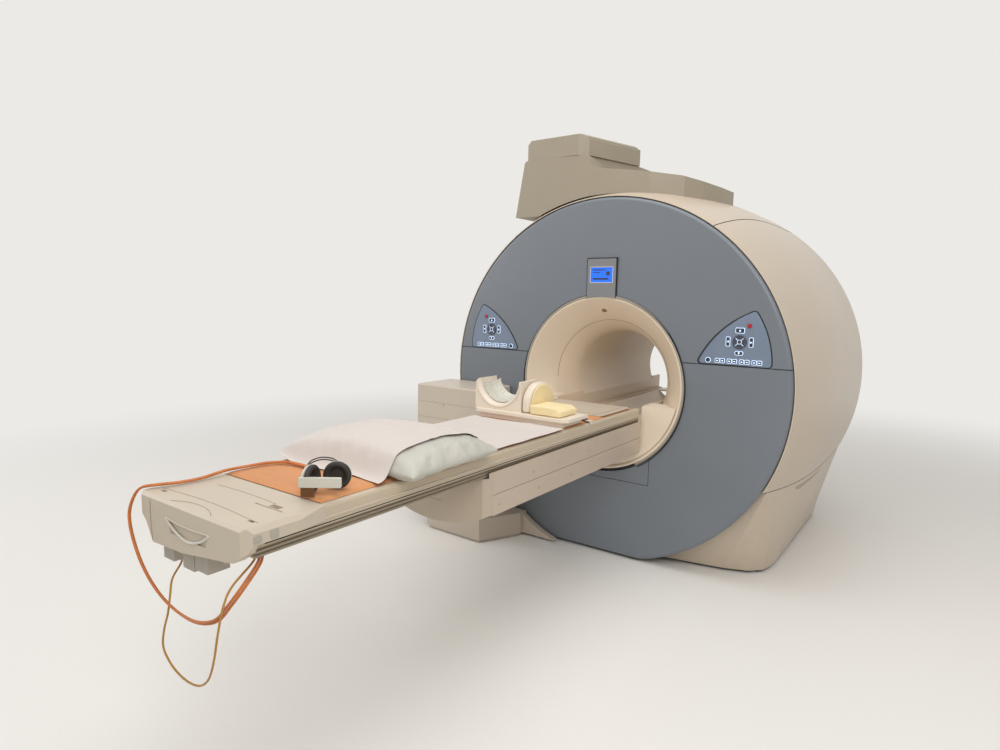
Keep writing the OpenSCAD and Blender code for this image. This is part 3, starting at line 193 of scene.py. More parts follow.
class Shader:
    """A Principled material whose nodes are added one by one."""

    def __init__(self, name, base):
        self.material = bpy.data.materials.new(name)
        self.material.use_nodes = True
        self.tree = self.material.node_tree
        self.surface = self.tree.nodes["Principled BSDF"]
        self.surface.inputs["Base Color"].default_value = (*base, 1)
        self.base = base
        self.place = self.add("ShaderNodeTexCoord").outputs["Object"]

    def add(self, kind, values=None, **settings):
        node = self.tree.nodes.new(kind)
        for name, value in settings.items():
            setattr(node, name, value)
        for socket, value in (values or {}).items():
            if isinstance(value, bpy.types.NodeSocket):
                self.tree.links.new(value, node.inputs[socket])
            else:
                node.inputs[socket].default_value = value
        return node

    def set(self, **values):
        for name, value in values.items():
            socket = self.surface.inputs[name.replace("_", " ")]
            if isinstance(value, bpy.types.NodeSocket):
                self.tree.links.new(value, socket)
            else:
                socket.default_value = value

    def grain(self, scale, detail, roughness=0.5, place=None):
        return self.add("ShaderNodeTexNoise", {"Vector": place or self.place, "Scale": scale,
                                               "Detail": detail,
                                               "Roughness": roughness}).outputs["Fac"]

    def spread(self, value, low, high, out_low=0.0, out_high=1.0):
        return self.add("ShaderNodeMapRange", {"Value": value, "From Min": low, "From Max": high,
                                               "To Min": out_low,
                                               "To Max": out_high}).outputs["Result"]

    def clouds(self, scale, detail, roughness=0.5):
        """Soft patches between 0 and 1."""
        return self.spread(self.grain(scale, detail, roughness), 0.3, 0.7)

    def cells(self, scale):
        return self.add("ShaderNodeTexVoronoi", {"Vector": self.place,
                                                 "Scale": scale}).outputs["Distance"]

    def tint(self, factor, dark, light):
        """Base colour between a darker and a lighter share of itself."""
        mix = self.add("ShaderNodeMix", data_type="RGBA")
        self.tree.links.new(factor, mix.inputs["Factor"])
        mix.inputs["A"].default_value = (*(c * dark for c in self.base), 1)
        mix.inputs["B"].default_value = (*(min(1, c * light) for c in self.base), 1)
        return mix.outputs["Result"]

    def blend(self, factor, first, second):
        mix = self.add("ShaderNodeMix", data_type="RGBA")
        for socket, value in (("Factor", factor), ("A", first), ("B", second)):
            self.tree.links.new(value, mix.inputs[socket])
        return mix.outputs["Result"]

    def math(self, operation, first, second):
        node = self.add("ShaderNodeMath", {0: first, 1: second}, operation=operation)
        return node.outputs["Value"]

    def bump(self, height, strength, distance, under=None):
        values = {"Height": height, "Strength": strength, "Distance": distance}
        if under is not None:
            values["Normal"] = under
        return self.add("ShaderNodeBump", values).outputs["Normal"]


def painted(name, base, rough=0.38, coat=0.15, peel=0.12, mottle=0.03, wear=0.05):
    """Sprayed paint on moulded shells: soft clouds, orange peel, fine rubs."""
    made = Shader(name, base)
    clouds = made.clouds(1.7, 4.0)
    rubs = made.spread(made.grain(38.0, 8.0, 0.7), 0.58, 0.8)
    tone = made.tint(clouds, 1 - mottle, 1 + mottle)
    worn = made.tint(clouds, 0.86, 0.9)
    made.set(Base_Color=made.blend(made.math("MULTIPLY", rubs, wear * 4), tone, worn))
    made.set(Roughness=made.spread(rubs, 0.0, 1.0, rough, min(1, rough + 0.14)))
    made.set(Normal=made.bump(made.grain(420.0, 2.0), peel, 0.0006,
                              made.bump(made.grain(9.0, 2.0), 0.05, 0.004)))
    made.set(Coat_Weight=coat, Coat_Roughness=0.22)
    return made.material


def moulded(name, base, rough=0.45, grain=0.25, speckle=0.02):
    """Moulded plastic with a fine eroded grain and handling marks."""
    made = Shader(name, base)
    patches = made.clouds(6.0, 5.0)
    marks = made.spread(made.grain(70.0, 9.0, 0.75), 0.6, 0.82)
    tone = made.tint(patches, 1 - speckle, 1 + speckle)
    handled = made.tint(patches, 0.72, 0.8)
    made.set(Base_Color=made.blend(made.math("MULTIPLY", marks, 0.22), tone, handled))
    made.set(Roughness=made.spread(patches, 0.0, 1.0, rough - 0.05, rough + 0.07))
    made.set(Normal=made.bump(made.grain(1500.0, 1.5), grain, 0.0003))
    return made.material


def metal(name, base, rough):
    """Metal brushed across the table."""
    made = Shader(name, base)
    stretched = made.add("ShaderNodeMapping", {"Vector": made.place, "Scale": (1.0, 30.0, 1.0)})
    lines = made.grain(60.0, 4.0, 0.6, stretched.outputs["Vector"])
    made.set(Base_Color=made.tint(made.spread(lines, 0.3, 0.7), 0.9, 1.06))
    made.set(Roughness=made.spread(lines, 0.3, 0.7, rough - 0.08, rough + 0.1))
    made.set(Normal=made.bump(lines, 0.2, 0.0003), Metallic=1.0)
    return made.material


def wound(name, base):
    """Copper wire laid turn by turn along the tunnel."""
    made = Shader(name, base)
    turns = made.add("ShaderNodeTexWave", {"Vector": made.place, "Scale": 60.0, "Distortion": 0.2},
                     bands_direction="Y").outputs["Fac"]
    made.set(Base_Color=made.tint(turns, 0.6, 1.05), Normal=made.bump(turns, 0.6, 0.002),
             Roughness=0.4, Metallic=0.8)
    return made.material


def woven(name, base, thread=0.0011, depth=0.3, rough=0.9, sheen=0.25, mottle=0.05, crease=0.25):
    """Cloth: crossing threads, fluff, and soft creases."""
    made = Shader(name, base)
    across, along = (made.add("ShaderNodeTexWave", {"Vector": made.place, "Scale": 0.314 / thread,
                                                    "Distortion": 0.6, "Detail Scale": 2.0},
                              bands_direction=way).outputs["Fac"] for way in ("X", "Y"))
    threads = made.math("MULTIPLY", across, along)
    clouds = made.clouds(7.0, 6.0, 0.6)
    tone = made.tint(clouds, 1 - mottle, 1 + mottle)
    between = made.tint(clouds, 0.8, 0.88)
    made.set(Base_Color=made.blend(made.math("MULTIPLY", threads, 0.12), tone, between))
    made.set(Roughness=made.spread(clouds, 0.0, 1.0, rough - 0.06, min(1.0, rough + 0.05)))
    creases = made.bump(made.grain(26.0, 5.0, 0.6), crease, 0.004)
    made.set(Normal=made.bump(threads, depth, 0.0004, creases))
    made.set(Sheen_Weight=sheen, Sheen_Roughness=0.5)
    return made.material


def foam(name, base):
    """Coated foam with fine open pores."""
    made = Shader(name, base)
    pores = made.cells(520.0)
    clouds = made.clouds(11.0, 5.0)
    made.set(Base_Color=made.tint(clouds, 0.95, 1.04),
             Roughness=made.spread(clouds, 0, 1, 0.74, 0.86))
    dents = made.bump(made.grain(18.0, 3.0), 0.18, 0.004)
    made.set(Normal=made.bump(pores, 0.25, 0.0006, dents), Sheen_Weight=0.12)
    return made.material


def rubber(name, base):
    """Dull rubber of the pads; also the finish of the painted shade in the gaps."""
    made = Shader(name, base)
    clouds = made.clouds(60.0, 4.0)
    made.set(Base_Color=made.tint(clouds, 0.85, 1.15),
             Roughness=made.spread(clouds, 0, 1, 0.55, 0.7))
    made.set(Normal=made.bump(made.grain(900.0, 1.0), 0.15, 0.0003))
    return made.material


def dusty(name, base, rough=0.42):
    """Soft plastic of the hoses and the cable, with dust on it."""
    made = Shader(name, base)
    clouds = made.clouds(30.0, 4.0)
    dust = made.spread(made.grain(210.0, 3.0), 0.35, 0.75)
    made.set(Base_Color=made.blend(made.math("MULTIPLY", dust, 0.3), made.tint(clouds, 0.86, 1.1),
                                   made.tint(clouds, 0.62, 0.72)))
    made.set(Roughness=made.spread(dust, 0, 1, rough, rough + 0.15))
    made.set(Normal=made.bump(made.grain(600.0, 1.0), 0.15, 0.0003), Subsurface_Weight=0.05)
    return made.material


def lit(name, base, strength):
    """A lit surface with a faint pixel grain."""
    made = Shader(name, base)
    tone = made.tint(made.spread(made.cells(900.0), 0.0, 0.8), 1.0, 0.86)
    made.set(Base_Color=tone, Emission_Color=tone, Roughness=0.25, Emission_Strength=strength)
    return made.material


def smoked(name, base):
    """Dark clear plastic under a gloss."""
    made = Shader(name, base)
    clouds = made.clouds(90.0, 2.0)
    made.set(Base_Color=made.tint(clouds, 0.8, 1.2),
             Roughness=made.spread(clouds, 0, 1, 0.06, 0.12), Coat_Weight=1.0)
    return made.material


RECIPES = {
    "feet_steel": (painted, {"rough": 0.5, "coat": 0.0}),
    "vessel_steel": (metal, {"rough": 0.35}),
    "winding": (wound, {}),
    "resin_dark": (moulded, {"rough": 0.5}),
    "resin_tan": (moulded, {"rough": 0.5, "speckle": 0.08}),
    "tunnel_cream": (painted, {"rough": 0.34, "coat": 0.12, "mottle": 0.02}),
    "ring_grey": (painted, {"rough": 0.36, "coat": 0.1}),
    "laser_glass": (smoked, {}),
    "front_blue": (painted, {"rough": 0.40, "coat": 0.10, "peel": 0.16, "mottle": 0.035}),
    "cover_cream": (painted, {"rough": 0.36, "coat": 0.18}),
    # Painted shade: the darkened cream of the turret and of the grip slot.
    "turret_cream": (painted, {"rough": 0.42, "coat": 0.08, "mottle": 0.04}),
    "display_grey": (moulded, {"rough": 0.4}),
    "display_blue": (lit, {"strength": 0.75}),
    "panel_blue": (moulded, {"rough": 0.38, "speckle": 0.03}),
    "stop_red": (moulded, {"rough": 0.3}),
    "knob_dark": (moulded, {"rough": 0.35, "grain": 0.1}),
    "tower_white": (painted, {"rough": 0.42, "wear": 0.09}),
    "guide_steel": (metal, {"rough": 0.2}),
    "arm_steel": (painted, {"rough": 0.45, "coat": 0.0}),
    "carrier_cream": (painted, {"rough": 0.42, "wear": 0.07}),
    "carrier_side": (painted, {"rough": 0.38, "wear": 0.07}),
    "screw_cap": (moulded, {"rough": 0.35, "grain": 0.1}),
    "table_cream": (moulded, {"rough": 0.40, "speckle": 0.03}),
    "rail_dark": (metal, {"rough": 0.42}),
    "cap_cream": (moulded, {"rough": 0.42, "speckle": 0.025}),
    "socket_grey": (moulded, {"rough": 0.5}),
    "mattress_orange": (woven, {"thread": 0.0016, "depth": 0.4, "sheen": 0.1, "mottle": 0.08}),
    "sheet_cloth": (woven, {"thread": 0.0009, "depth": 0.2, "sheen": 0.2, "mottle": 0.015,
                            "crease": 0.2}),
    "pillow_cloth": (woven, {"thread": 0.0008, "depth": 0.12, "rough": 0.5, "sheen": 0.1,
                             "crease": 0.8}),
    "coil_cream": (moulded, {"rough": 0.42, "speckle": 0.02}),
    "cushion_yellow": (foam, {}),
    "headphone_dark": (rubber, {}),
    "hose_orange": (dusty, {}),
    "cable_yellow": (dusty, {"rough": 0.5}),
    # Painted shade of the gaps, with a rubber finish.
    "gasket": (rubber, {}),
    "glow": (lit, {"strength": 1.0}),
    "mark": (moulded, {"rough": 0.4}),
    "strap": (woven, {"thread": 0.0014, "depth": 0.5}),
    "band": (moulded, {"rough": 0.4}),
}


def finish(name):
    """The material of that name, made at its first use."""
    found = bpy.data.materials.get("scanner_" + name)
    if found is None:
        recipe, settings = RECIPES[name]
        found = recipe("scanner_" + name, tuple(getattr(hues(), name)), **settings)
    return found


def finish_nodes(name, *nodes, soften=0.0):
    """Gives CAD nodes their finish, and eases their edges with a bevel."""
    for node in nodes:
        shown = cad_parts[node]
        for place in shown.material_slots:
            place.material = finish(name)
        if soften:
            soften_edges(shown, soften)


def soften_edges(piece, width):
    ease = piece.modifiers.new("eased_edges", "BEVEL")
    ease.width = width
    ease.segments = 3
    ease.limit_method = "ANGLE"
    ease.angle_limit = math.radians(32)
    ease.harden_normals = True


# ---------------------------------------------------------------- mesh helpers

def new_piece(name, verts, faces, body, material, slot=None, nodes=(), sharp=35, soften=0.0):
    """A mesh piece with its finish, riding on a body and standing for its CAD nodes."""
    mesh = bpy.data.meshes.new(name)
    mesh.from_pydata([tuple(v) for v in verts], [], faces)
    work = bmesh.new()
    work.from_mesh(mesh)
    bmesh.ops.remove_doubles(work, verts=work.verts, dist=1e-6)
    bmesh.ops.recalc_face_normals(work, faces=work.faces)
    work.to_mesh(mesh)
    work.free()
    shade(mesh, sharp)
    mesh.materials.append(finish(material))
    piece = bpy.data.objects.new(name, mesh)
    bpy.context.scene.collection.objects.link(piece)
    if soften:
        soften_edges(piece, soften)
    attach(piece, body)
    slot or material
    if nodes:
        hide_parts(*nodes)
    return piece


def shade(mesh, sharp):
    mesh.shade_smooth()
    mesh.set_sharp_from_angle(angle=math.radians(sharp))


def grid_faces(rows, cols):
    """Faces of a grid of points with that many points each way."""
    return [(i * cols + j, i * cols + j + 1, (i + 1) * cols + j + 1, (i + 1) * cols + j)
            for i in range(rows - 1) for j in range(cols - 1)]


def wall_between(outer, inner):
    """Closed wall between two grids of points, as vertices and faces."""
    rows, cols = len(outer), len(outer[0])
    count = rows * cols
    verts = [p for grid in (outer, inner) for row in grid for p in row]
    faces = []
    for a, b, c, d in grid_faces(rows, cols):
        faces += [(a, b, c, d), (count + d, count + c, count + b, count + a)]
    for i in range(rows - 1):
        a, b, c, d = i * cols, (i + 1) * cols, (i + 1) * cols - 1, (i + 2) * cols - 1
        faces += [(a, b, count + b, count + a), (c, count + c, count + d, d)]
    for j in range(cols - 1):
        a, b, c, d = j, j + 1, count - cols + j, count - cols + j + 1
        faces += [(a, count + a, count + b, b), (c, d, count + d, count + c)]
    return verts, faces


def prism(outline, near, far, place):
    """Outline drawn between two depths and placed by a function."""
    n = len(outline)
    verts = [place(u, v, w) for w in (near, far) for u, v in outline]
    faces = [tuple(range(n)), tuple(range(2 * n - 1, n - 1, -1))]
    faces += [(i, (i + 1) % n, n + (i + 1) % n, n + i) for i in range(n)]
    return verts, faces


SIDES = (("right", 1), ("left", -1))


def front_place(u, v, w):
    """Outlines seen from the front: across, up, and drawn along the tunnel."""
    return (u, w, v)


def side_place(u, v, w):
    """Outlines seen from the side: along the tunnel, up, and drawn across it."""
    return (w, u, v)


def plan_place(u, v, w):
    """Outlines seen from above: across, along the tunnel, and drawn up."""
    return (u, v, w)


def mirrored(side):
    """As front_place, on the right side (1) or mirrored on the left (-1)."""
    return lambda u, v, w: (side * u, w, v)


def lathe(profile, place, steps):
    """Profile of radius and depth turned all the way about a line."""
    verts, faces = [], []
    for k in range(steps):
        a = math.radians(360.0 * k / steps)
        verts += [place(r * math.cos(a), r * math.sin(a), w) for r, w in profile]
    n = len(profile)
    for k in range(steps):
        for i in range(n - 1):
            a, b = k * n + i, ((k + 1) % steps) * n + i
            faces.append((a, b, b + 1, a + 1))
    return verts, faces


def rounded(points, radius, steps=6):
    """Closed outline with every corner rounded."""
    made = []
    n = len(points)
    for i in range(n):
        before, here, after = (Vector(points[(i + k) % n]) for k in (-1, 0, 1))
        back, on = (before - here).normalized(), (after - here).normalized()
        half = back.angle(on) / 2
        cut = min(radius / math.tan(half), (before - here).length / 2, (after - here).length / 2)
        reach = cut * math.tan(half)
        centre = here + (back + on).normalized() * (reach / math.sin(half))
        start, end = here + back * cut - centre, here + on * cut - centre
        for k in range(steps + 1):
            arm = start.lerp(end, k / steps)
            made.append(tuple(centre + arm.normalized() * start.length))
    return made


def rounded_box(x0, x1, y0, y1, radius):
    return rounded([(x0, y0), (x1, y0), (x1, y1), (x0, y1)], radius)


def apply_modifiers(piece):
    """Turns a piece's modifiers into its own mesh."""
    bpy.context.view_layer.update()
    seen = piece.evaluated_get(bpy.context.evaluated_depsgraph_get())
    mesh = bpy.data.meshes.new_from_object(seen)
    piece.modifiers.clear()
    old = piece.data
    piece.data = mesh
    bpy.data.meshes.remove(old)


def even_mesh(piece, voxel):
    """Remeshes a closed piece with even faces of that size."""
    remesh = piece.modifiers.new("even_mesh", "REMESH")
    remesh.mode = "VOXEL"
    remesh.voxel_size = voxel
    apply_modifiers(piece)


def thicken(piece, thickness, offset, sharp):
    """Gives a single layer of faces its thickness."""
    thick = piece.modifiers.new("thickness", "SOLIDIFY")
    thick.thickness = thickness
    thick.offset = offset
    apply_modifiers(piece)
    shade(piece.data, sharp)


def surface_tree(node):
    """A CAD node's surface, to find points on it."""
    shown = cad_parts[node]
    return BVHTree.FromPolygons([shown.matrix_world @ v.co for v in shown.data.vertices],
                                [tuple(p.vertices) for p in shown.data.polygons])


def join(verts, faces, more_verts, more_faces):
    start = len(verts)
    verts += list(more_verts)
    faces += [tuple(start + i for i in face) for face in more_faces]


def plates(name, outlines, near, far, place, body, material, slot=None, soften=0.0005, nodes=()):
    """Several flat plates of one finish as one piece."""
    verts, faces = [], []
    for outline in outlines:
        join(verts, faces, *prism(outline, near, far, place))
    return new_piece(name, verts, faces, body, material, slot, nodes, soften=soften)


def band_between(inner, outer, near, far, place):
    """Flat closed band between two outlines with as many points each."""
    n = len(inner)
    verts = [place(u, v, w) for w in (near, far) for ring in (inner, outer) for u, v in ring]
    faces = []
    for i in range(n):
        j = (i + 1) % n
        faces += [(i, j, n + j, n + i), (2 * n + i, 3 * n + i, 3 * n + j, 2 * n + j),
                  (i, 2 * n + i, 2 * n + j, j), (n + i, n + j, 3 * n + j, 3 * n + i)]
    return verts, faces


def grown(outline, amount):
    """Closed outline moved outwards along its own normals."""
    n = len(outline)
    area = sum(here[0] * after[1] - after[0] * here[1]
               for here, after in zip(outline, outline[1:] + outline[:1]))
    sense = 1 if area > 0 else -1
    made = []
    for i in range(n):
        tangent = Vector(outline[(i + 1) % n]) - Vector(outline[i - 1])
        if tangent.length < 1e-9:
            tangent = Vector(outline[(i + 2) % n]) - Vector(outline[i - 2])
        tangent.normalize()
        made.append((outline[i][0] + sense * tangent.y * amount,
                     outline[i][1] - sense * tangent.x * amount))
    return made


def wire(name, lines, radius, body, material, slot=None, sides=8):
    """Thin round lines through points, as one piece."""
    verts, faces = [], []
    for line in lines:
        join(verts, faces, *tube_rings(along(line, 8), radius, sides))
    return new_piece(name, verts, faces, body, material, slot, sharp=80)


# ---------------------------------------------------------------- cords

HOSE_PATH = [
    (0.120, -2.930, 0.921), (0.084, -2.880, 0.915), (0.030, -2.836, 0.912),
    (-0.040, -2.806, 0.912), (-0.110, -2.798, 0.912), (-0.170, -2.810, 0.912),
    (-0.208, -2.854, 0.912), (-0.220, -2.930, 0.912), (-0.222, -3.000, 0.913),
    (-0.224, -3.080, 0.905), (-0.232, -3.150, 0.905), (-0.254, -3.206, 0.906),
    (-0.289, -3.240, 0.895), (-0.300, -3.262, 0.850), (-0.296, -3.270, 0.800),
    (-0.262, -3.272, 0.730), (-0.205, -3.272, 0.666), (-0.120, -3.272, 0.618),
    (-0.020, -3.272, 0.596), (0.080, -3.272, 0.600), (0.170, -3.270, 0.634),
    (0.224, -3.262, 0.690), (0.244, -3.230, 0.740), (0.232, -3.184, 0.774),
    (0.228, -3.172, 0.792), (0.228, -3.172, 0.8072)]
CABLE_PATH = [
    (-0.180, -3.176, 0.6845), (-0.179, -3.180, 0.668), (-0.150, -3.222, 0.642),
    (-0.120, -3.246, 0.604), (-0.120, -3.254, 0.556), (-0.130, -3.262, 0.506),
    (-0.128, -3.268, 0.458), (-0.098, -3.268, 0.424), (-0.050, -3.268, 0.404),
    (0.012, -3.268, 0.398), (0.076, -3.270, 0.414), (0.132, -3.276, 0.458),
    (0.176, -3.284, 0.530), (0.202, -3.286, 0.610), (0.222, -3.280, 0.690),
    (0.224, -3.256, 0.736), (0.210, -3.188, 0.774), (0.206, -3.172, 0.792),
    (0.206, -3.172, 0.8075)]


def along(points, steps):
    """Smooth line through points, with the same tangents as the solid."""
    line = []
    last = len(points) - 1
    for i in range(last):
        p, q = Vector(points[i]), Vector(points[i + 1])
        a = (q - Vector(points[i - 1])) / 2 if i > 0 else q - p
        b = (Vector(points[i + 2]) - p) / 2 if i < last - 1 else q - p
        for k in range(steps + (i == last - 1)):
            f = k / steps
            line.append(p * (2 * f ** 3 - 3 * f * f + 1) + a * (f ** 3 - 2 * f * f + f)
                        + q * (3 * f * f - 2 * f ** 3) + b * (f ** 3 - f * f))
    return line


def tube_rings(line, radius, sides, aside=0.0, rib=0.0):
    """Closed tube along a line, beside it by aside; every other ring is thinner by rib."""
    verts, faces = [], []
    side = (line[1] - line[0]).cross(Vector((0, 0, 1))).normalized()
    last = len(line) - 1
    for i, point in enumerate(line):
        ahead = (line[min(last, i + 1)] - line[max(0, i - 1)]).normalized()
        side = (side - ahead * side.dot(ahead)).normalized()
        up = ahead.cross(side)
        r = radius - (rib if i % 2 else 0.0)
        for k in range(sides):
            a = 2 * math.pi * k / sides
            verts.append(point + side * (aside + r * math.cos(a)) + up * (r * math.sin(a)))
    for i in range(last):
        for k in range(sides):
            a, b = i * sides + k, i * sides + (k + 1) % sides
            faces.append((a, b, b + sides, a + sides))
    faces += [tuple(range(sides - 1, -1, -1)), tuple(range(last * sides, (last + 1) * sides))]
    return verts, faces


class SCANNER_OT_cords(bpy.types.Operator):
    """Lays the twin air hose of the headphones and the thin cable of the foot cap"""
    bl_idname = "scanner.cords"
    bl_label = "Hoses and cable"

    def execute(self, context):
        bore = table().hose_bore
        line = along(HOSE_PATH, 26)
        verts, faces = [], []
        for aside in (-bore / 2, bore / 2):
            join(verts, faces, *tube_rings(line, bore / 2, 10, aside, 0.0005))
        hoses = new_piece("air_hose_pair", verts, faces, "table", "hose_orange",
                          nodes=("air_hoses",), sharp=80)
        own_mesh(hoses)
        line = along(CABLE_PATH, 20)
        verts, faces = tube_rings(line, table().cable_width / 2, 10)
        cable = new_piece("thin_lead", verts, faces, "table", "cable_yellow",
                          nodes=("thin_cable",), sharp=80)
        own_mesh(cable)
        return {"FINISHED"}


# ---------------------------------------------------------------- camera, stage and light

class SCANNER_OT_camera(bpy.types.Operator):
    """Sets the camera at the height of the eyes, at the foot of the table"""
    bl_idname = "scanner.camera"
    bl_label = "Camera"

    def execute(self, context):
        view = context.scene.scanner_view
        flat = math.cos(view.pitch)
        ahead = Vector((-math.sin(view.yaw) * flat, math.cos(view.yaw) * flat,
                        math.sin(view.pitch)))
        right = ahead.cross(Vector((0, 0, 1))).normalized()
        up = right.cross(ahead)
        lean, rest = math.sin(view.roll), math.cos(view.roll)
        right, up = right * rest + up * lean, up * rest - right * lean
        camera = bpy.data.objects.new("camera", bpy.data.cameras.new("camera"))
        camera.data.lens = view.lens
        camera.data.clip_end = 60
        turned = Matrix((right, up, -ahead)).transposed().to_4x4()
        camera.matrix_world = Matrix.Translation(Vector(view.place)) @ turned
        context.scene.collection.objects.link(camera)
        context.scene.camera = camera
        return {"FINISHED"}


def area_light(name, place, target, power, width):
    lamp = bpy.data.lights.new(name, "AREA")
    lamp.energy = power
    lamp.shape = "DISK"
    lamp.size = width
    stand = bpy.data.objects.new(name, lamp)
    stand.location = place
    stand.rotation_euler = (Vector(target) - Vector(place)).to_track_quat("-Z", "Y").to_euler()
    bpy.context.scene.collection.objects.link(stand)


class SCANNER_OT_stage(bpy.types.Operator):
    """Lays the pale floor and sets the soft studio light"""
    bl_idname = "scanner.stage"
    bl_label = "Stage and light"

    floor_radius = 16.0
    floor_sides = 64
    fade_from = 1.9
    fade_to = 7.0

    def execute(self, context):
        view = context.scene.scanner_view
        sides = self.floor_sides
        turns = [2 * math.pi * k / sides for k in range(sides)]
        verts = [(0, 0, 0)] + [(self.floor_radius * math.cos(a), self.floor_radius * math.sin(a), 0)
                               for a in turns]
        faces = [(0, 1 + k, 1 + (k + 1) % sides) for k in range(sides)]
        mesh = bpy.data.meshes.new("studio_floor")
        mesh.from_pydata(verts, [], faces)
        mesh.materials.append(self.floor_material())
        floor = bpy.data.objects.new("studio_floor", mesh)
        context.scene.collection.objects.link(floor)
        area_light("key_light", (3.4, -5.0, 4.6), (0.1, -1.0, 0.9), view.key_power, 3.4)
        area_light("fill_light", (-4.6, -4.2, 3.0), (0, -1.0, 1.0), view.fill_power, 3.6)
        area_light("top_light", (0.2, -1.6, 5.6), (0, -0.9, 0), view.top_power, 4.6)
        self.world(context.scene, view.sky)
        context.scene.view_settings.view_transform = "Standard"
        return {"FINISHED"}

    @staticmethod
    def seen_directly(tree):
        """1 for what the camera sees, also in a mirror or through glass."""
        path = tree.nodes.new("ShaderNodeLightPath")
        total = path.outputs["Is Camera Ray"]
        for name in ("Is Glossy Ray", "Is Transmission Ray"):
            node = tree.nodes.new("ShaderNodeMath")
            node.operation = "MAXIMUM"
            tree.links.new(total, node.inputs[0])
            tree.links.new(path.outputs[name], node.inputs[1])
            total = node.outputs["Value"]
        return total

    def floor_material(self):
        made = Shader("studio_floor", tuple(hues().floor))
        tree = made.tree
        flecks = made.spread(made.grain(160.0, 2.0), 0.42, 0.6)
        made.set(Base_Color=made.tint(flecks, 0.97, 1.0), Roughness=0.62)
        glow = made.add("ShaderNodeEmission", {"Color": (*hues().backdrop, 1), "Strength": 1.0})
        reach = made.add("ShaderNodeVectorMath", {0: made.place}, operation="LENGTH")
        far = made.add("ShaderNodeMapRange", {"Value": reach.outputs["Value"],
                                              "From Min": self.fade_from,
                                              "From Max": self.fade_to},
                       interpolation_type="SMOOTHSTEP")
        share = made.math("MULTIPLY", far.outputs["Result"], self.seen_directly(tree))
        mix = made.add("ShaderNodeMixShader")
        tree.links.new(share, mix.inputs[0])
        tree.links.new(made.surface.outputs["BSDF"], mix.inputs[1])
        tree.links.new(glow.outputs["Emission"], mix.inputs[2])
        tree.links.new(mix.outputs["Shader"], tree.nodes["Material Output"].inputs["Surface"])
        return made.material

    def world(self, scene, sky):
        scene.world = bpy.data.worlds.new("studio")
        scene.world.use_nodes = True
        tree = scene.world.node_tree
        light = tree.nodes["Background"]
        light.inputs["Color"].default_value = (1, 0.985, 0.96, 1)
        light.inputs["Strength"].default_value = sky
        shown = tree.nodes.new("ShaderNodeBackground")
        shown.inputs["Color"].default_value = (*hues().backdrop, 1)
        shown.inputs["Strength"].default_value = 1.0
        mix = tree.nodes.new("ShaderNodeMixShader")
        tree.links.new(self.seen_directly(tree), mix.inputs[0])
        tree.links.new(light.outputs["Background"], mix.inputs[1])
        tree.links.new(shown.outputs["Background"], mix.inputs[2])
        tree.links.new(mix.outputs["Shader"], tree.nodes["World Output"].inputs["Surface"])


# ---------------------------------------------------------------- magnet covers

BARREL_STEP = 0.005
SHOULDER_LENGTH = 1.2
SHOULDER_POWER = 3.5
TAIL_LENGTH = 0.16
TAIL_POWER = 2.5
FRONT_FACE = -0.812
FRONT_DISH = 0.012


def barrel_radius(y):
    """The barrel's radius grows fast behind the front cover and falls again at the back."""
    s = covers()
    shoulder = max(0.0, 1 - (y - s.front) / SHOULDER_LENGTH)
    tail = max(0.0, 1 - (s.back - y) / TAIL_LENGTH)
    return (s.front_radius + BARREL_STEP + s.rise * (1 - shoulder ** SHOULDER_POWER)
            - s.drop * tail ** TAIL_POWER)


def front_face(x, z):
    """Where the dished front cover lies along the tunnel."""
    s = covers()
    return FRONT_FACE + FRONT_DISH * (math.hypot(x, z - s.axis_height) / s.front_radius) ** 2


def low_seam_angle(y):
    """Angle of the level seam above the foot covers, which changes with the radius."""
    return -math.asin((covers().axis_height - covers().low_seam) / barrel_radius(y))


def cover_point(y, angle, inset):
    """Point of the barrel, or below its face by inset."""
    r = barrel_radius(y) - inset
    return (r * math.cos(angle), y, covers().axis_height + r * math.sin(angle))


def cover_rows(start, count):
    """Places along the barrel, closer together at both ends."""
    back = covers().back
    return [start + (back - start) * (0.35 * t + 0.325 * (1 - math.cos(math.pi * t)))
            for t in (i / count for i in range(count + 1))]


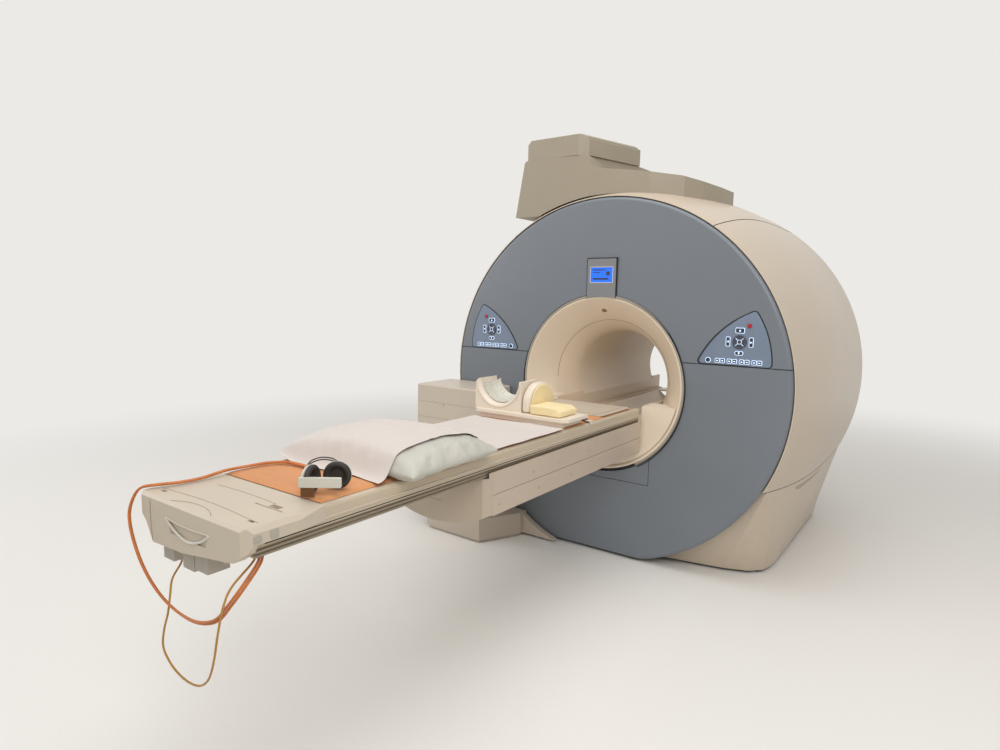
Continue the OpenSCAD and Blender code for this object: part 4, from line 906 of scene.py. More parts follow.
class SCANNER_OT_barrel_covers(bpy.types.Operator):
    """Builds the barrel's top and side covers as fine lofted shells"""
    bl_idname = "scanner.barrel_covers"
    bl_label = "Barrel covers"

    def execute(self, context):
        s = covers()
        rows, cols = 44, 44
        edge = 0.0016
        ys = cover_rows(s.front + 0.010, rows)

        def shell(low, high, side):
            grids = []
            for inset in (0.0, s.wall):
                grid = []
                for y in ys:
                    first = low_seam_angle(y) + s.seam / barrel_radius(y) if low is None else low
                    row = [cover_point(y, first + (high - first) * j / cols, inset)
                           for j in range(cols + 1)]
                    grid.append([(side * x, y, z) for x, y, z in row])
                grids.append(grid)
            return wall_between(*grids)

        high = s.top_seam - s.seam / s.front_radius
        for name, side in SIDES:
            new_piece("barrel_side_" + name, *shell(None, high, side), "scanner", "cover_cream",
                      nodes=("side_cover_" + name,), soften=edge)
        new_piece("barrel_top", *shell(s.top_seam, math.pi - s.top_seam, 1), "scanner",
                  "cover_cream", nodes=("top_cover",), soften=edge)
        finish_nodes("cover_cream", "foot_cover_right", "foot_cover_left", "rear_cover")
        self.seams(ys)
        self.grip()
        return {"FINISHED"}

    def seams(self, ys):
        """Black wires sunk in the seams between the covers: painted shade of the gaps."""
        sunk = 0.0012
        top = [cover_point(y, covers().top_seam, sunk) for y in ys[::3]]
        low = [cover_point(y, low_seam_angle(y) + 0.0015, sunk) for y in ys[::3]]
        lines = [[(side * x, y, z) for x, y, z in line] for line in (top, low) for side in (1, -1)]
        wire("cover_gap_shade", lines, 0.0021, "scanner", "gasket", "cover_cream", sides=6)

    def grip(self):
        """Darker plate on the foot cover under the low seam: painted shade of the slot to lift the
        cover by; it tapers towards the back.
        """
        tree = surface_tree("foot_cover_right")
        start, length, high, steps = -0.420, 0.520, 0.4975, 24
        grids = []
        for out in (0.0012, -0.0030):
            grid = []
            for t in (k / steps for k in range(steps + 1)):
                y = start + length * t
                tall = (0.030 - 0.022 * t) * min(1.0, 0.4 + 6 * t, 0.2 + 9 * (1 - t))
                row = []
                for z in (high - tall, high):
                    hit = tree.ray_cast(Vector((2.0, y, z)), Vector((-1, 0, 0)))[0]
                    row.append((hit.x + out, y, z))
                grid.append(row)
            grids.append(grid)
        new_piece("foot_grip_shade", *wall_between(*grids), "scanner", "turret_cream", "cover_cream",
                  soften=0.0004)


class SCANNER_OT_front_covers(bpy.types.Operator):
    """Finishes the round front covers and the ring round the mouth"""
    bl_idname = "scanner.front_covers"
    bl_label = "Front covers"

    split = 1.168

    def execute(self, context):
        finish_nodes("front_blue", "front_cover_upper", "front_cover_lower", "front_hatch",
                     soften=0.0012)
        finish_nodes("ring_grey", "ring_trim", soften=0.001)
        low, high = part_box("ring_trim")
        radius = (high.x - low.x) / 2
        middle = high.z - radius
        reach = math.asin((middle - low.z) / radius)
        steps = 96
        turns = [-reach + (math.pi + 2 * reach) * k / steps for k in range(steps + 1)]
        # A black band just outside the ring: painted shade of the gap between the ring and the front
        # cover.
        depths = (low.y + 0.0010, FRONT_FACE + 0.0055)
        gap, width = 0.0002, 0.0050
        grids = [[[(r * math.cos(a), y, middle + r * math.sin(a)) for y in depths] for a in turns]
                 for r in (radius + gap + width, radius + gap)]
        new_piece("mouth_gasket", *wall_between(*grids), "scanner", "gasket", "ring_grey",
                  soften=0.0008)
        # Black wires along the split of the front cover: painted shade of that seam.
        lines = []
        for side in (1, -1):
            for start, end in ((radius * 0.962, 0.566), (0.944, 1.036)):
                xs = [start + (end - start) * k / 4 for k in range(5)]
                lines.append([(side * x, front_face(x, self.split) + 0.0002, self.split)
                              for x in xs])
        wire("front_gap_shade", lines, 0.0018, "scanner", "gasket", "front_blue", sides=6)
        return {"FINISHED"}


class SCANNER_OT_tunnel(bpy.types.Operator):
    """Finishes the tunnel's lining, its mouths and the bed"""
    bl_idname = "scanner.tunnel"
    bl_label = "Tunnel"

    def execute(self, context):
        finish_nodes("tunnel_cream", "bore_tube", "throat_ring", "front_funnel", "rear_funnel",
                     "bore_sill", "bore_bed")
        # The laser window's gold tint is partly painted glow of the laser.
        finish_nodes("laser_glass", "laser_window")
        funnel = surface_tree("front_funnel")
        middle = Vector((0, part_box("front_funnel")[1].y - 0.0020, covers().tunnel_height))
        seam = []
        steps = 56
        for k in range(steps + 1):
            a = math.pi * k / steps
            outward = Vector((math.cos(a), 0, math.sin(a)))
            hit = funnel.ray_cast(middle, outward)[0]
            if hit is not None:
                seam.append(tuple(hit - outward * 0.0006))
        wire("tunnel_seam", [seam], 0.0012, "scanner", "rail_dark", "tunnel_cream", sides=6)
        return {"FINISHED"}


class SCANNER_OT_inner_works(bpy.types.Operator):
    """Finishes the magnet and the machinery behind the covers"""
    bl_idname = "scanner.inner_works"
    bl_label = "Inner works"

    def execute(self, context):
        finish_nodes("feet_steel", "magnet_feet", "cover_frame")
        finish_nodes("vessel_steel", "vacuum_vessel", "helium_vessel", "cold_head")
        finish_nodes("winding", "magnet_coils")
        finish_nodes("resin_dark", "gradient_coil")
        finish_nodes("resin_tan", "body_coil")
        finish_nodes("guide_steel", "lift_guides")
        finish_nodes("arm_steel", "lift_arm", "lift_motor", "drive_unit")
        return {"FINISHED"}


class SCANNER_OT_turret(bpy.types.Operator):
    """Finishes the housing on top of the magnet"""
    bl_idname = "scanner.turret"
    bl_label = "Turret"

    def execute(self, context):
        # The turret's cream is darkened as painted shade.
        finish_nodes("turret_cream", "turret_cover", "turret_cap", soften=0.006)
        return {"FINISHED"}


class SCANNER_OT_display(bpy.types.Operator):
    """Finishes the display above the mouth, with its dark outline of painted shade, frame and marks
    """
    bl_idname = "scanner.display"
    bl_label = "Display"

    half_width = 0.089
    top = 1.724
    foot = 1.502
    face = -0.820
    gap_shade_width = 0.006
    overlap = 0.001

    def execute(self, context):
        finish_nodes("display_grey", "display_case", soften=0.002)
        finish_nodes("display_blue", "display_screen")
        # Black strips round the case: painted shade of the gap round the display.
        foot = self.foot
        inner, outer = self.half_width - self.overlap, self.half_width + self.gap_shade_width
        under, over = self.top - self.overlap, self.top + self.gap_shade_width
        strips = {name: [(side * inner, foot), (side * outer, foot - 0.002), (side * outer, over),
                         (side * inner, under)] for name, side in SIDES}
        strips["top"] = [(-outer, under), (outer, under), (outer, over), (-outer, over)]
        for name, strip in strips.items():
            plates("display_gasket_" + name, [strip], self.face + 0.004, -0.806, front_place,
                   "scanner", "gasket", "display_grey")
        frame_in = rounded_box(-0.069, 0.069, 1.591, 1.676, 0.003)
        verts, faces = band_between(frame_in, grown(frame_in, 0.0035), self.face - 0.0008,
                                    self.face + 0.006, front_place)
        new_piece("display_frame", verts, faces, "scanner", "band", "display_grey", soften=0.0006)
        bars = [rounded_box(*box, 0.002)
                for box in ((-0.056, 0.020, 1.658, 1.664), (-0.056, -0.010, 1.644, 1.649),
                            (-0.056, 0.044, 1.606, 1.616), (0.028, 0.050, 1.630, 1.652))]
        plates("display_marks", bars, -0.8176, -0.8168, front_place, "scanner", "mark",
               "display_blue", soften=0.0002)
        return {"FINISHED"}


def bow(start, end, rise):
    """Line from start towards end that bows out to one side."""
    a, b = Vector(start), Vector(end)
    side = Vector((-(b - a).y, (b - a).x)).normalized()
    return [tuple(a + (b - a) * t + side * rise * 4 * t * (1 - t))
            for t in (i / 10 for i in range(10))]


class SCANNER_OT_control_panels(bpy.types.Operator):
    """Finishes the two three-cornered control panels with their lit keys"""
    bl_idname = "scanner.control_panels"
    bl_label = "Control panels"

    plane = -0.8050
    corners = ((0.569, 1.172), (0.852, 1.450), (0.940, 1.172))
    knob = (0.781, 1.292)
    ring = 0.054
    pairs = [0.627 + 0.061 * i for i in range(1, 5)]
    key_rim = 0.0024

    def execute(self, context):
        finish_nodes("panel_blue", "control_panel_right", "control_panel_left", soften=0.001)
        finish_nodes("stop_red", "stop_button_right", "stop_button_left", soften=0.001)
        finish_nodes("knob_dark", "centre_knob_right", "centre_knob_left", soften=0.001)
        for name, side in SIDES:
            self.gasket(name, side)
            self.keys(name, side)
            self.knob_marks(name, side)
        return {"FINISHED"}

    def outline(self):
        inner, tip, outer = self.corners
        edge = bow(inner, tip, 0.040) + bow(tip, outer, 0.022)
        return rounded(edge + [outer], 0.016, 3)

    # A black band round each panel: painted shade of the gap it sits in.
    def gasket(self, name, side):
        def on_front(u, v, w):
            return (side * u, front_face(u, v) + w, v)
        inner = grown(self.outline(), -0.0012)
        outer = grown(self.outline(), 0.0058)
        verts, faces = band_between(inner, outer, -0.0010, 0.006, on_front)
        new_piece("panel_gasket_" + name, verts, faces, "scanner", "gasket", "panel_blue")

    def keys(self, name, side):
        x, z = self.knob
        r = self.ring
        petals = [rounded_box(x - 0.023, x + 0.023, z + r - 0.010, z + r + 0.018, 0.006),
                  rounded_box(x - r - 0.014, x - r + 0.008, z - 0.025, z + 0.025, 0.006),
                  rounded_box(x + r - 0.008, x + r + 0.014, z - 0.025, z + 0.025, 0.006),
                  rounded_box(x - 0.021, x + 0.021, z - r - 0.014, z - r + 0.008, 0.009)]
        row = [rounded_box(0.613, 0.641, 1.178, 1.206, 0.0135)]
        for middle in self.pairs:
            row += [rounded_box(middle - 0.025, middle - 0.001, 1.180, 1.204, 0.005),
                    rounded_box(middle + 0.001, middle + 0.025, 1.180, 1.204, 0.005)]
        place = mirrored(side)
        shapes = petals + row
        plates("panel_glow_" + name, shapes, self.plane - 0.0024, self.plane + 0.0006, place,
               "scanner", "glow", "panel_blue")
        plates("panel_keys_" + name, [grown(o, -self.key_rim) for o in shapes],
               self.plane - 0.0031, self.plane - 0.0020, place, "scanner", "mark", "panel_blue")
        symbols = []
        for u, v, turned in ((x, z + r + 0.004, 90), (x, z - r - 0.003, -90),
                             (x - r - 0.003, z, 180), (x + r + 0.003, z, 0)):
            a = math.radians(turned)
            symbols.append([(u + 0.007 * math.cos(a + t), v + 0.007 * math.sin(a + t))
                            for t in (0, 2.3, -2.3)])
        for middle in (pair + off for pair in self.pairs for off in (-0.013, 0.013)):
            symbols.append(rounded_box(middle - 0.0045, middle + 0.0045, 1.1885, 1.1945, 0.002))
        plates("panel_symbols_" + name, symbols, self.plane - 0.0036, self.plane - 0.0028, place,
               "scanner", "glow", "panel_blue", soften=0.0002)

    def knob_marks(self, name, side):
        x, z = self.knob
        body = "centre_knob_" + name
        face = self.plane - 0.004
        place = mirrored(side)
        spokes = []
        for turned in (45, 135, 225, 315):
            a = math.radians(turned)
            out, across = Vector((math.cos(a), math.sin(a))), Vector((-math.sin(a), math.cos(a)))
            ends = [out * far + across * half for far, half in
                    ((0.012, 0.0011), (0.012, -0.0011), (0.0275, -0.0011), (0.0275, 0.0011))]
            spokes.append([(x + e.x, z + e.y) for e in ends])
        plates("knob_spokes_" + name, spokes, face - 0.0007, face + 0.0004, place, body, "glow",
               "knob_dark", soften=0.0002)
        r, sides = 0.0115, 40
        circle = [(x + r * math.cos(a), z + r * math.sin(a))
                  for a in (2 * math.pi * k / sides for k in range(sides))]
        verts, faces = band_between(grown(circle, -0.0018), circle, face - 0.0008, face + 0.0004,
                                    place)
        new_piece("knob_ring_" + name, verts, faces, body, "glow", "knob_dark")


class SCANNER_OT_tower(bpy.types.Operator):
    """Finishes the lifting tower"""
    bl_idname = "scanner.tower"
    bl_label = "Lifting tower"

    def execute(self, context):
        finish_nodes("tower_white", "tower_base", "tower_cover", "tower_top", soften=0.004)
        return {"FINISHED"}


# ---------------------------------------------------------------- table

class SCANNER_OT_carrier(bpy.types.Operator):
    """Finishes the carrier under the tabletop and hangs the flap in its nose"""
    bl_idname = "scanner.carrier"
    bl_label = "Carrier"

    def execute(self, context):
        finish_nodes("carrier_cream", "carrier_body", "carrier_nose", soften=0.003)
        finish_nodes("carrier_side", "carrier_side_upper", "carrier_side_lower", soften=0.0025)
        finish_nodes("screw_cap", "carrier_screws", soften=0.0008)
        low = 0.6738
        way = [(-0.2370, low), (0.0452, low), (0.0452, 0.7530), (0.1392, 0.7530),
               (0.1392, 0.7736), (0.1736, 0.7778), (0.2256, 0.7876), (0.2482, 0.8012),
               (0.2482, 0.8062), (-0.2370, 0.8062)]
        flap = plates("nose_flap", [way], -2.2326, -2.2298, front_place, "lift", "carrier_cream")
        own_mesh(flap)
        return {"FINISHED"}


class SCANNER_OT_tabletop(bpy.types.Operator):
    """Finishes the tabletop and its rails"""
    bl_idname = "scanner.tabletop"
    bl_label = "Tabletop"

    def execute(self, context):
        finish_nodes("table_cream", "tabletop", soften=0.002)
        finish_nodes("rail_dark", "side_rails", soften=0.0008)
        low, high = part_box("tabletop")
        start, end = low.y + 0.03, high.y - 0.002
        inner, outer, proud = (table().width / 2 + out for out in (-0.002, 0.0030, 0.0006))
        # The lip is drawn in the paler cap moulding as a painted highlight; the black strip lower
        # down is painted shade of a groove in the rail.
        lip = [(inner, 0.8520), (outer, 0.8535), (outer, 0.8590), (inner, 0.8600)]
        line = [(inner, 0.8395), (proud, 0.8395), (proud, 0.8425), (inner, 0.8425)]
        for name, side in SIDES:
            plates("rail_lip_highlight_" + name, [lip], start, end, mirrored(side), "table", "cap_cream",
                   "table_cream", soften=0.0008)
            plates("rail_groove_shade_" + name, [line], start, end, mirrored(side), "table", "gasket",
                   "rail_dark", soften=0.0002)
        return {"FINISHED"}


class SCANNER_OT_foot_cap(bpy.types.Operator):
    """Finishes the foot cap with its handle, seams, latches and sockets"""
    bl_idname = "scanner.foot_cap"
    bl_label = "Foot cap"

    face = -3.2500
    top = 0.8950

    def execute(self, context):
        finish_nodes("cap_cream", "foot_cap", soften=0.004)
        finish_nodes("socket_grey", "foot_sockets", soften=0.002)
        y, z = self.face, self.top
        proud = 0.0002

        def even(middle, *arms):
            """Points across the cap, the same on both sides of the middle."""
            return ([(-x, v) for x, v in arms] + [(0.0, middle)]
                    + [(x, v) for x, v in reversed(arms)])

        def on_face(points, out):
            return [(x, y - out, z + up) for x, up in points]

        def on_top(points):
            return [(x, y + back, z + proud) for x, back in points]
        smile = on_face(even(-0.095, (0.116, -0.050), (0.070, -0.078)), 0)
        brow = on_face(even(-0.056, (0.116, -0.050), (0.060, -0.054)), 0)
        # The lip is drawn in the paler band colour: a painted highlight along the handle.
        wire("handle_lip_highlight", [smile], 0.0040, "table", "band", "cap_cream", sides=12)
        wire("handle_brow", [brow], 0.0030, "table", "cap_cream", sides=10)
        hollow = rounded_box(-0.128, 0.128, z - 0.114, z - 0.036, 0.010)
        plates("handle_hollow", [hollow], y + 0.0045, y + 0.0075, front_place, "table", "cap_cream")
        seams = [on_top(even(0.040, (0.105, 0.012), (0.060, 0.032))),
                 on_face([(-0.205, -0.016), (-0.205, -0.080), (-0.200, -0.136)], proud),
                 on_face([(0.180, -0.016), (0.180, -0.060), (0.180, -0.098)], proud),
                 on_top(even(0.072, (0.250, 0.058))),
                 on_top(even(0.186, (0.150, 0.180)))]
        wire("cap_seams", seams, 0.0011, "table", "rail_dark", "cap_cream", sides=6)
        side = table().width / 2 + 0.016
        foot = z - 0.040
        for name, at, tall in (("front", -3.215, 0.020), ("middle", -3.165, 0.024)):
            latch = rounded_box(at - 0.012, at + 0.012, foot, foot + tall, 0.004)
            plates("cap_latch_" + name, [latch], side - 0.001, side + 0.0024, side_place, "table",
                   "socket_grey")
        return {"FINISHED"}


class SCANNER_OT_mattress(bpy.types.Operator):
    """Makes the thin padded mattress"""
    bl_idname = "scanner.mattress"
    bl_label = "Mattress"

    def execute(self, context):
        low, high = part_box("mattress")
        middle = (low.z + high.z) / 2
        cols, rows = 40, 150
        edge, uneven = 0.012, 0.0010
        top, bottom = [], []
        for i in range(rows + 1):
            y = low.y + (high.y - low.y) * i / rows
            upper, lower = [], []
            for j in range(cols + 1):
                x = low.x + (high.x - low.x) * j / cols
                inward = min(x - low.x, high.x - x, y - low.y, high.y - y)
                fall = max(0.0, 1 - inward / edge)
                swell = uneven * noise.noise(Vector((x * 9, y * 9, 0.3))) if inward > edge else 0
                share = math.sqrt(max(0.0, 1 - fall * fall))
                upper.append((x, y, middle + (high.z - middle) * share - 0.0012 + swell))
                lower.append((x, y, middle - (middle - low.z) * share))
            top.append(upper)
            bottom.append(lower)
        pad = new_piece("mattress_pad", *wall_between(top, bottom), "table", "mattress_orange",
                        nodes=("mattress",), sharp=60)
        self.head_end()
        return {"FINISHED"}

    def head_end(self):
        """Moulded insert over the mattress beyond the head coil, with the strap and its buckle."""
        z = table().mattress_top
        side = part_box("mattress")[1].x + 0.0006
        insert = rounded_box(-side, side, -1.240, -0.889, 0.030)
        plates("head_insert", [insert], z - 0.0006, z + 0.0028, plan_place, "table", "cap_cream",
               "table_cream", soften=0.0012)
        ways = [[(-0.205, -1.205), (0.0, -1.208), (0.205, -1.205)],
                [(0.205, -1.205), (0.208, -1.050), (0.205, -0.910)],
                [(-0.205, -1.205), (-0.208, -1.050), (-0.205, -0.910)]]
        wire("insert_seams", [[(x, y, z + 0.0030) for x, y in way] for way in ways], 0.0010,
             "table", "rail_dark", "table_cream", sides=6)
        rim = table().width / 2
        strap = [(-0.0015, z - 0.014), (-0.0015, z + 0.0016), (0.0015, z + 0.0034),
                 (rim * 0.36, z + 0.0034), (rim * 0.36, z + 0.0018), (0.0028, z + 0.0018),
                 (0.0006, z - 0.014)]

        def over_rim(u, v, w):
            return (rim - u, w, v)
        plates("coil_strap", [strap], -1.402, -1.372, over_rim, "table", "sheet_cloth",
               soften=0.0006)
        buckle = rounded_box(rim - 0.062, rim - 0.026, -1.406, -1.368, 0.006)
        plates("coil_buckle", [buckle], z + 0.0036, z + 0.0086, plan_place, "table", "knob_dark",
               soften=0.0015)


def swell_as_cloth(piece, pressure, cap):
    """Lets a closed form swell as cloth, each point by cap at most."""
    before = [v.co.copy() for v in piece.data.vertices]
    cloth = piece.modifiers.new("swelling", "CLOTH")
    cloth.settings.quality = 5
    cloth.settings.mass = 0.3
    cloth.settings.use_pressure = True
    cloth.settings.uniform_pressure_force = pressure
    cloth.settings.effector_weights.gravity = 0
    cloth.settings.tension_stiffness = 15
    cloth.settings.bending_stiffness = 0.4
    frames = 20
    cloth.point_cache.frame_start = 1
    cloth.point_cache.frame_end = frames
    scene = bpy.context.scene
    for number in range(1, frames + 1):
        scene.frame_set(number)
    apply_modifiers(piece)
    for vertex, old in zip(piece.data.vertices, before):
        move = vertex.co - old
        if move.length > cap:
            vertex.co = old + move.normalized() * cap
    scene.frame_set(1)


class SCANNER_OT_pillow(bpy.types.Operator):
    """Makes the pillow that lies across the table"""
    bl_idname = "scanner.pillow"
    bl_label = "Pillow"

    middle = (0.035, -2.500)
    degrees = 3
    edge = 0.022
    pull = 0.035
    swelling = 0.010

    def execute(self, context):
        t = table()
        base = t.mattress_top + 0.0004
        n = 30
        place = (Matrix.Translation((*self.middle, base))
                 @ Matrix.Rotation(math.radians(self.degrees), 4, "Z"))
        half_w, half_l = t.pillow_width / 2 - self.swelling, t.pillow_length / 2 - self.swelling
        edge = self.edge
        grids = []
        for upper in (True, False):
            grid = []
            for i in range(n + 1):
                row = []
                u = math.sin(math.pi / 2 * (2 * i / n - 1))
                for j in range(n + 1):
                    v = math.sin(math.pi / 2 * (2 * j / n - 1))
                    crown = math.sqrt(max(0, 1 - abs(u) ** 2.6) * max(0, 1 - abs(v) ** 2.6))
                    pull_u = 1 - self.pull * (1 - v * v)
                    pull_v = 1 - self.pull * (1 - u * u)
                    z = (edge + (t.pillow_height - 0.008 - edge) * crown if upper
                         else edge * (1 - crown) ** 2)
                    row.append(place @ Vector((half_w * u * pull_u, half_l * v * pull_v, z)))
                grid.append(row)
            grids.append(grid)
        pillow = new_piece("pillow_body", *wall_between(*grids), "table", "pillow_cloth",
                           nodes=("pillow",))
        even_mesh(pillow, 0.006)
        swell_as_cloth(pillow, 4.0, self.swelling)
        self.fold(pillow, place, base)
        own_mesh(pillow)
        return {"FINISHED"}

    def fold(self, pillow, place, base):
        """Broad folds, fine wrinkles and sharp creases of the cover, and a flat underside."""
        low_z, high_z = base + 0.0005, base + table().pillow_height + 0.001
        inverse = place.inverted()
        for vertex in pillow.data.vertices:
            here = inverse @ vertex.co
            fold = noise.noise(Vector((here.x * 5, here.y * 16, 1.7))) * 0.0055
            fold += noise.noise(Vector((here.x * 21, here.y * 30, 4.1))) * 0.0028
            crease = Vector((here.x * 30 + here.y * 9, here.y * 15, 8.8))
            fold -= abs(noise.noise(crease)) * 0.0045
            rim = min(1.0, max(0.0, 1.25 - 2 * abs(here.z - 0.05) / 0.1))
            vertex.co += vertex.normal * fold * (0.5 + 0.5 * rim)
            vertex.co.z = min(high_z, max(low_z, vertex.co.z))
        shade(pillow.data, 70)
        fine = pillow.modifiers.new("fine", "SUBSURF")
        fine.levels = fine.render_levels = 1
        apply_modifiers(pillow)
        shade(pillow.data, 70)


class SCANNER_OT_sheet(bpy.types.Operator):
    """Drapes the white sheet over the mattress and the pillow"""
    bl_idname = "scanner.sheet"
    bl_label = "Sheet"

    head = -1.646
    foot = -2.775
    cols = 72
    rows = 200
    rounds = 26
    above_pillow = 0.0025
    edge_from = 0.238
    edge_width = 0.022
    edge_drop = 0.0070

    def execute(self, context):
        t = table()
        cols, rows = self.cols, self.rows
        flat = t.mattress_top + 0.0012
        places, heights = self.dropped(flat)
        heights = self.settled(heights)
        verts = [self.creased(*places[i][j], heights[i][j], flat)
                 for i in range(rows + 1) for j in range(cols + 1)]
        sheet = new_piece("bed_sheet", verts, grid_faces(rows + 1, cols + 1), "table",
                          "sheet_cloth", nodes=("sheet",), sharp=80)
        thicken(sheet, 0.0008, 1.0, 70)
        middle = [Vector(verts[i * (cols + 1) + cols // 2]) for i in range(rows + 1)]
        return {"FINISHED"}

    def dropped(self, flat):
        """Each point of the sheet over its place, as high as the pillow or the mattress there."""
        cols, rows, head, foot = self.cols, self.rows, self.head, self.foot
        pillow = bpy.data.objects["pillow_body"]
        tree = BVHTree.FromPolygons([v.co for v in pillow.data.vertices],
                                    [tuple(p.vertices) for p in pillow.data.polygons])
        heights, places = [], []
        for i in range(rows + 1):
            line, spots = [], []
            for j in range(cols + 1):
                v, u = i / rows, j / cols - 0.5
                x = table().sheet_width * u + 0.006 * math.sin(5 * v + 1)
                y = head + (foot - head) * v + 0.012 * math.sin(7 * u)
                hit = tree.ray_cast(Vector((x, y, 2)), Vector((0, 0, -1)))
                z = hit[0].z + self.above_pillow if hit[0] else flat
                past = min(1.0, max(0.0, abs(x) - self.edge_from) / self.edge_width)
                line.append(max(flat - past * self.edge_drop, z))
                spots.append((x, y))
            heights.append(line)
            places.append(spots)
        return places, heights

    def settled(self, heights):
        """Pulls the sheet smooth between the points it rests on."""
        cols, rows = self.cols, self.rows
        lowest = [row[:] for row in heights]
        for _ in range(self.rounds):
            new = [row[:] for row in heights]
            for i in range(rows + 1):
                for j in range(cols + 1):
                    around = [heights[a][b]
                              for a, b in ((i - 1, j), (i + 1, j), (i, j - 1), (i, j + 1))
                              if 0 <= a <= rows and 0 <= b <= cols]
                    new[i][j] = max(lowest[i][j], sum(around) / len(around) - 0.00005)
            heights = new
        return heights

    def creased(self, x, y, height, flat):
        """A point lifted by the sheet's waves, and by its creases over the pillow."""
        raised = min(1.0, max(0.0, height - flat) / 0.03)
        wave = 0.5 + 0.5 * noise.noise(Vector((x * 6, y * 3.2, 2.2)))
        ripple = max(0.0, noise.noise(Vector((x * 15 + y * 4, y * 9, 5.5))))
        crease = 0.5 - abs(noise.noise(Vector((x * 9 + y * 5, y * 13 - x * 3, 9.1))))
        lift = 0.0018 * wave + 0.0035 * ripple + 0.0060 * raised * max(0.0, crease)
        return (x, y, height + lift)


class SCANNER_OT_head_coil(bpy.types.Operator):
    """Finishes the head coil and its plate, and lays the padded rim and film in its cup"""
    bl_idname = "scanner.head_coil"
    bl_label = "Head coil"

    middle = -0.145
    top = 1.0894
    front = -1.6000
    radius = 0.117

    def execute(self, context):
        finish_nodes("coil_cream", "coil_plate", "head_coil", soften=0.005)
        r = self.radius + 0.014
        rim = [(self.middle + r * math.cos(a), self.front - 0.0005, self.top + r * math.sin(a))
               for a in (math.radians(degrees) for degrees in range(186, 355, 12))]
        wire("coil_rim", [rim], 0.0045, "table", "coil_cream", sides=10)
        self.film()
        return {"FINISHED"}

    def film(self):
        """Thin crumpled film that lines the back of the cup and stands a little above it."""
        rows, cols = 16, 80
        verts = []
        for i in range(rows + 1):
            depth = i / rows
            for j in range(cols + 1):
                a = math.radians(192 + 156 * j / cols)
                crumple = noise.noise(Vector((j * 0.35, i * 0.5, 3.1))) * 0.006
                fine = noise.noise(Vector((j * 1.3, i * 1.4, 7.7))) * 0.0025
                lift = max(0.0, depth - 0.55) * 0.05 + abs(crumple) + abs(fine)
                r = self.radius - 0.0022 - lift * 0.7
                verts.append((self.middle + r * math.cos(a),
                              self.front + 0.030 + 0.122 * depth + crumple,
                              self.top + r * math.sin(a) + max(0.0, depth - 0.8) * 0.04))
        film = new_piece("coil_film", verts, grid_faces(rows + 1, cols + 1), "table", "band",
                         "coil_cream", sharp=25)
        thicken(film, 0.0004, 0.0, 25)


class SCANNER_OT_head_cushion(bpy.types.Operator):
    """Makes the foam head cushion: a pale wing with a yellow hollow, and a bevelled block"""
    bl_idname = "scanner.head_cushion"
    bl_label = "Head cushion"

    plate = 0.9434
    arch_y = -1.490
    arch_r = 0.114

    def execute(self, context):
        low = self.plate + 0.0008
        arch = [(self.arch_y + self.arch_r * math.cos(a), self.plate + 0.046 + 0.098 * math.sin(a))
                for a in (math.pi * k / 28 for k in range(28, -1, -1))]
        outline = [(self.arch_y - self.arch_r, low)] + arch + [(self.arch_y + self.arch_r, low)]
        self.foam_piece("cushion_wing", outline, 0.0004, 0.0455, side_place, "coil_cream", 0.012,
                        ("head_cushion",))
        inner = [(self.arch_y + 0.88 * (u - self.arch_y), low + 0.004 + 0.90 * (v - low))
                 for u, v in outline]
        self.foam_piece("cushion_hollow", inner, 0.0440, 0.0518, side_place, "cushion_yellow",
                        0.006, ())
        x0, x1, y0, y1, h = 0.0530, 0.2235, -1.6155, -1.4545, self.plate + 0.0455
        block = [(x0, low), (x1, low), (x1, h - 0.016), (x1 - 0.030, h), (x0, h)]
        self.foam_piece("cushion_block", block, y0, y1, front_place, "cushion_yellow", 0.007,
                        ("head_cushion",))
        return {"FINISHED"}

    def foam_piece(self, name, outline, near, far, place, material, ease, nodes):
        """A block of foam with round edges and a slightly uneven face."""
        piece = plates(name, [outline], near, far, place, "table", material, soften=ease,
                       nodes=nodes)
        apply_modifiers(piece)
        even_mesh(piece, 0.0028)
        depth = 0.0012
        for vertex in piece.data.vertices:
            dent = noise.noise(vertex.co * 22) * depth
            vertex.co += vertex.normal * (dent - depth)
        shade(piece.data, 60)


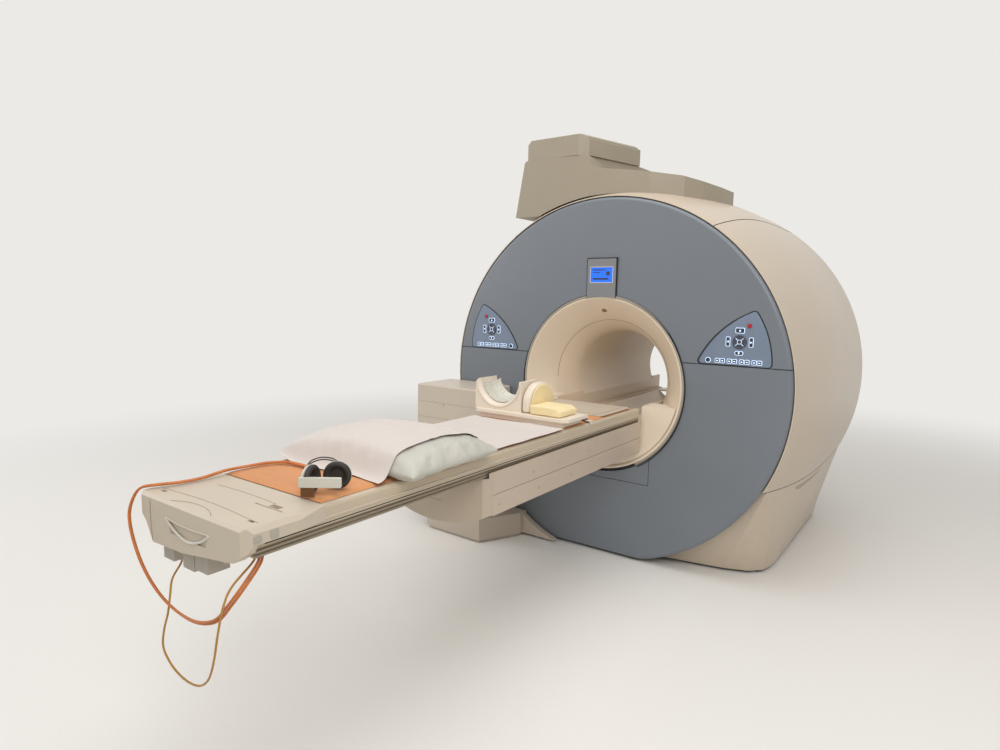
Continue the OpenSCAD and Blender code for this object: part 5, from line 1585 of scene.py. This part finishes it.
class SCANNER_OT_headphones(bpy.types.Operator):
    """Makes the headphones on the mattress: cups, pads, band, box and strap"""
    bl_idname = "scanner.headphones"
    bl_label = "Headphones"

    low = 0.9038
    shell = ((0.0, 0.0), (0.020, 0.0012), (0.034, 0.005), (0.041, 0.011), (0.0425, 0.017),
             (0.039, 0.0185), (0.0, 0.0185))
    pad = ((0.0, 0.0205), (0.018, 0.0215), (0.022, 0.0255), (0.027, 0.0315), (0.033, 0.0335),
           (0.039, 0.0315), (0.0425, 0.0265), (0.0420, 0.0210), (0.0385, 0.0190), (0.0, 0.0190))

    def execute(self, context):
        made = {"shell": ([], []), "pad": ([], [])}
        for x, y, degrees in ((0.150, -2.970, 22), (0.182, -2.868, -52)):
            a = math.radians(degrees)
            ahead = Vector((math.cos(a), math.sin(a), 0))
            side = Vector((-math.sin(a), math.cos(a), 0))
            middle = Vector((x, y, self.low + 0.0445))

            def place(u, v, w, ahead=ahead, side=side, middle=middle):
                return tuple(middle + side * u + Vector((0, 0, 1)) * v + ahead * w)
            join(*made["shell"], *lathe(self.shell, place, 48))
            join(*made["pad"], *lathe(self.pad, place, 48))
        new_piece("headphone_shells", *made["shell"], "table", "band", "headphone_dark",
                  nodes=("headphones",))
        new_piece("headphone_pads", *made["pad"], "table", "headphone_dark")
        top = self.low + 0.088
        hoop = [(0.158, -2.966, top - 0.004), (0.150, -2.944, top + 0.005),
                (0.154, -2.912, top + 0.009), (0.172, -2.888, top + 0.005),
                (0.188, -2.878, top - 0.004)]
        inner = [(u * 0.994 + 0.001, v, w - 0.007) for u, v, w in hoop]
        wire("headphone_hoop", [hoop, inner], 0.0020, "table", "headphone_dark")

        def tilted(u, v, w):
            return (0.205 + u * 0.80 + w * 0.60, -2.985 + u * 0.60 - w * 0.80, v)
        box = rounded_box(-0.040, 0.084, self.low + 0.030, self.low + 0.060, 0.004)
        plates("headphone_box", [box], -0.006, 0.006, tilted, "table", "band", "headphone_dark",
               soften=0.0015)
        strap = rounded_box(-0.034, 0.006, self.low + 0.002, self.low + 0.031, 0.002)
        plates("headphone_strap", [strap], -0.001, 0.0035, tilted, "table", "strap",
               "headphone_dark", soften=0.001)
        return {"FINISHED"}


class SCANNER_PT_panel(bpy.types.Panel):
    """Lists the steps that dress the scanner"""
    bl_idname = "SCANNER_PT_panel"
    bl_label = "Scanner"
    bl_space_type = "VIEW_3D"
    bl_region_type = "UI"
    bl_category = "Scanner"

    def draw(self, context):
        for group in ("scanner_view", "cover_sizes", "table_sizes", "scanner_colours"):
            box = self.layout.box()
            settings = getattr(context.scene, group)
            for name in settings.bl_rna.properties.keys():
                if name not in ("rna_type", "name"):
                    box.prop(settings, name)
        for step in STEPS:
            self.layout.operator(step.bl_idname)


STEPS = (
    SCANNER_OT_camera, SCANNER_OT_cords, SCANNER_OT_stage, SCANNER_OT_inner_works,
    SCANNER_OT_barrel_covers, SCANNER_OT_front_covers, SCANNER_OT_tunnel, SCANNER_OT_turret,
    SCANNER_OT_display, SCANNER_OT_control_panels, SCANNER_OT_tower, SCANNER_OT_carrier,
    SCANNER_OT_tabletop, SCANNER_OT_foot_cap, SCANNER_OT_mattress, SCANNER_OT_pillow,
    SCANNER_OT_sheet, SCANNER_OT_head_coil, SCANNER_OT_head_cushion, SCANNER_OT_headphones)
GROUPS = {"scanner_view": ScannerView, "cover_sizes": CoverSizes, "table_sizes": TableSizes,
          "scanner_colours": ScannerColours}


def register():
    for group in GROUPS.values():
        bpy.utils.register_class(group)
    for step in STEPS:
        bpy.utils.register_class(step)
    bpy.utils.register_class(SCANNER_PT_panel)
    for name, group in GROUPS.items():
        setattr(bpy.types.Scene, name, PointerProperty(type=group))


def unregister():
    for name in GROUPS:
        delattr(bpy.types.Scene, name)
    bpy.utils.unregister_class(SCANNER_PT_panel)
    for step in reversed(STEPS):
        bpy.utils.unregister_class(step)
    for group in reversed(list(GROUPS.values())):
        bpy.utils.unregister_class(group)


def main():
    register()
    for step in STEPS:
        family, name = step.bl_idname.split(".")
        getattr(getattr(bpy.ops, family), name)()
    bpy.context.view_layer.update()


if __name__ == "__main__":
    main()
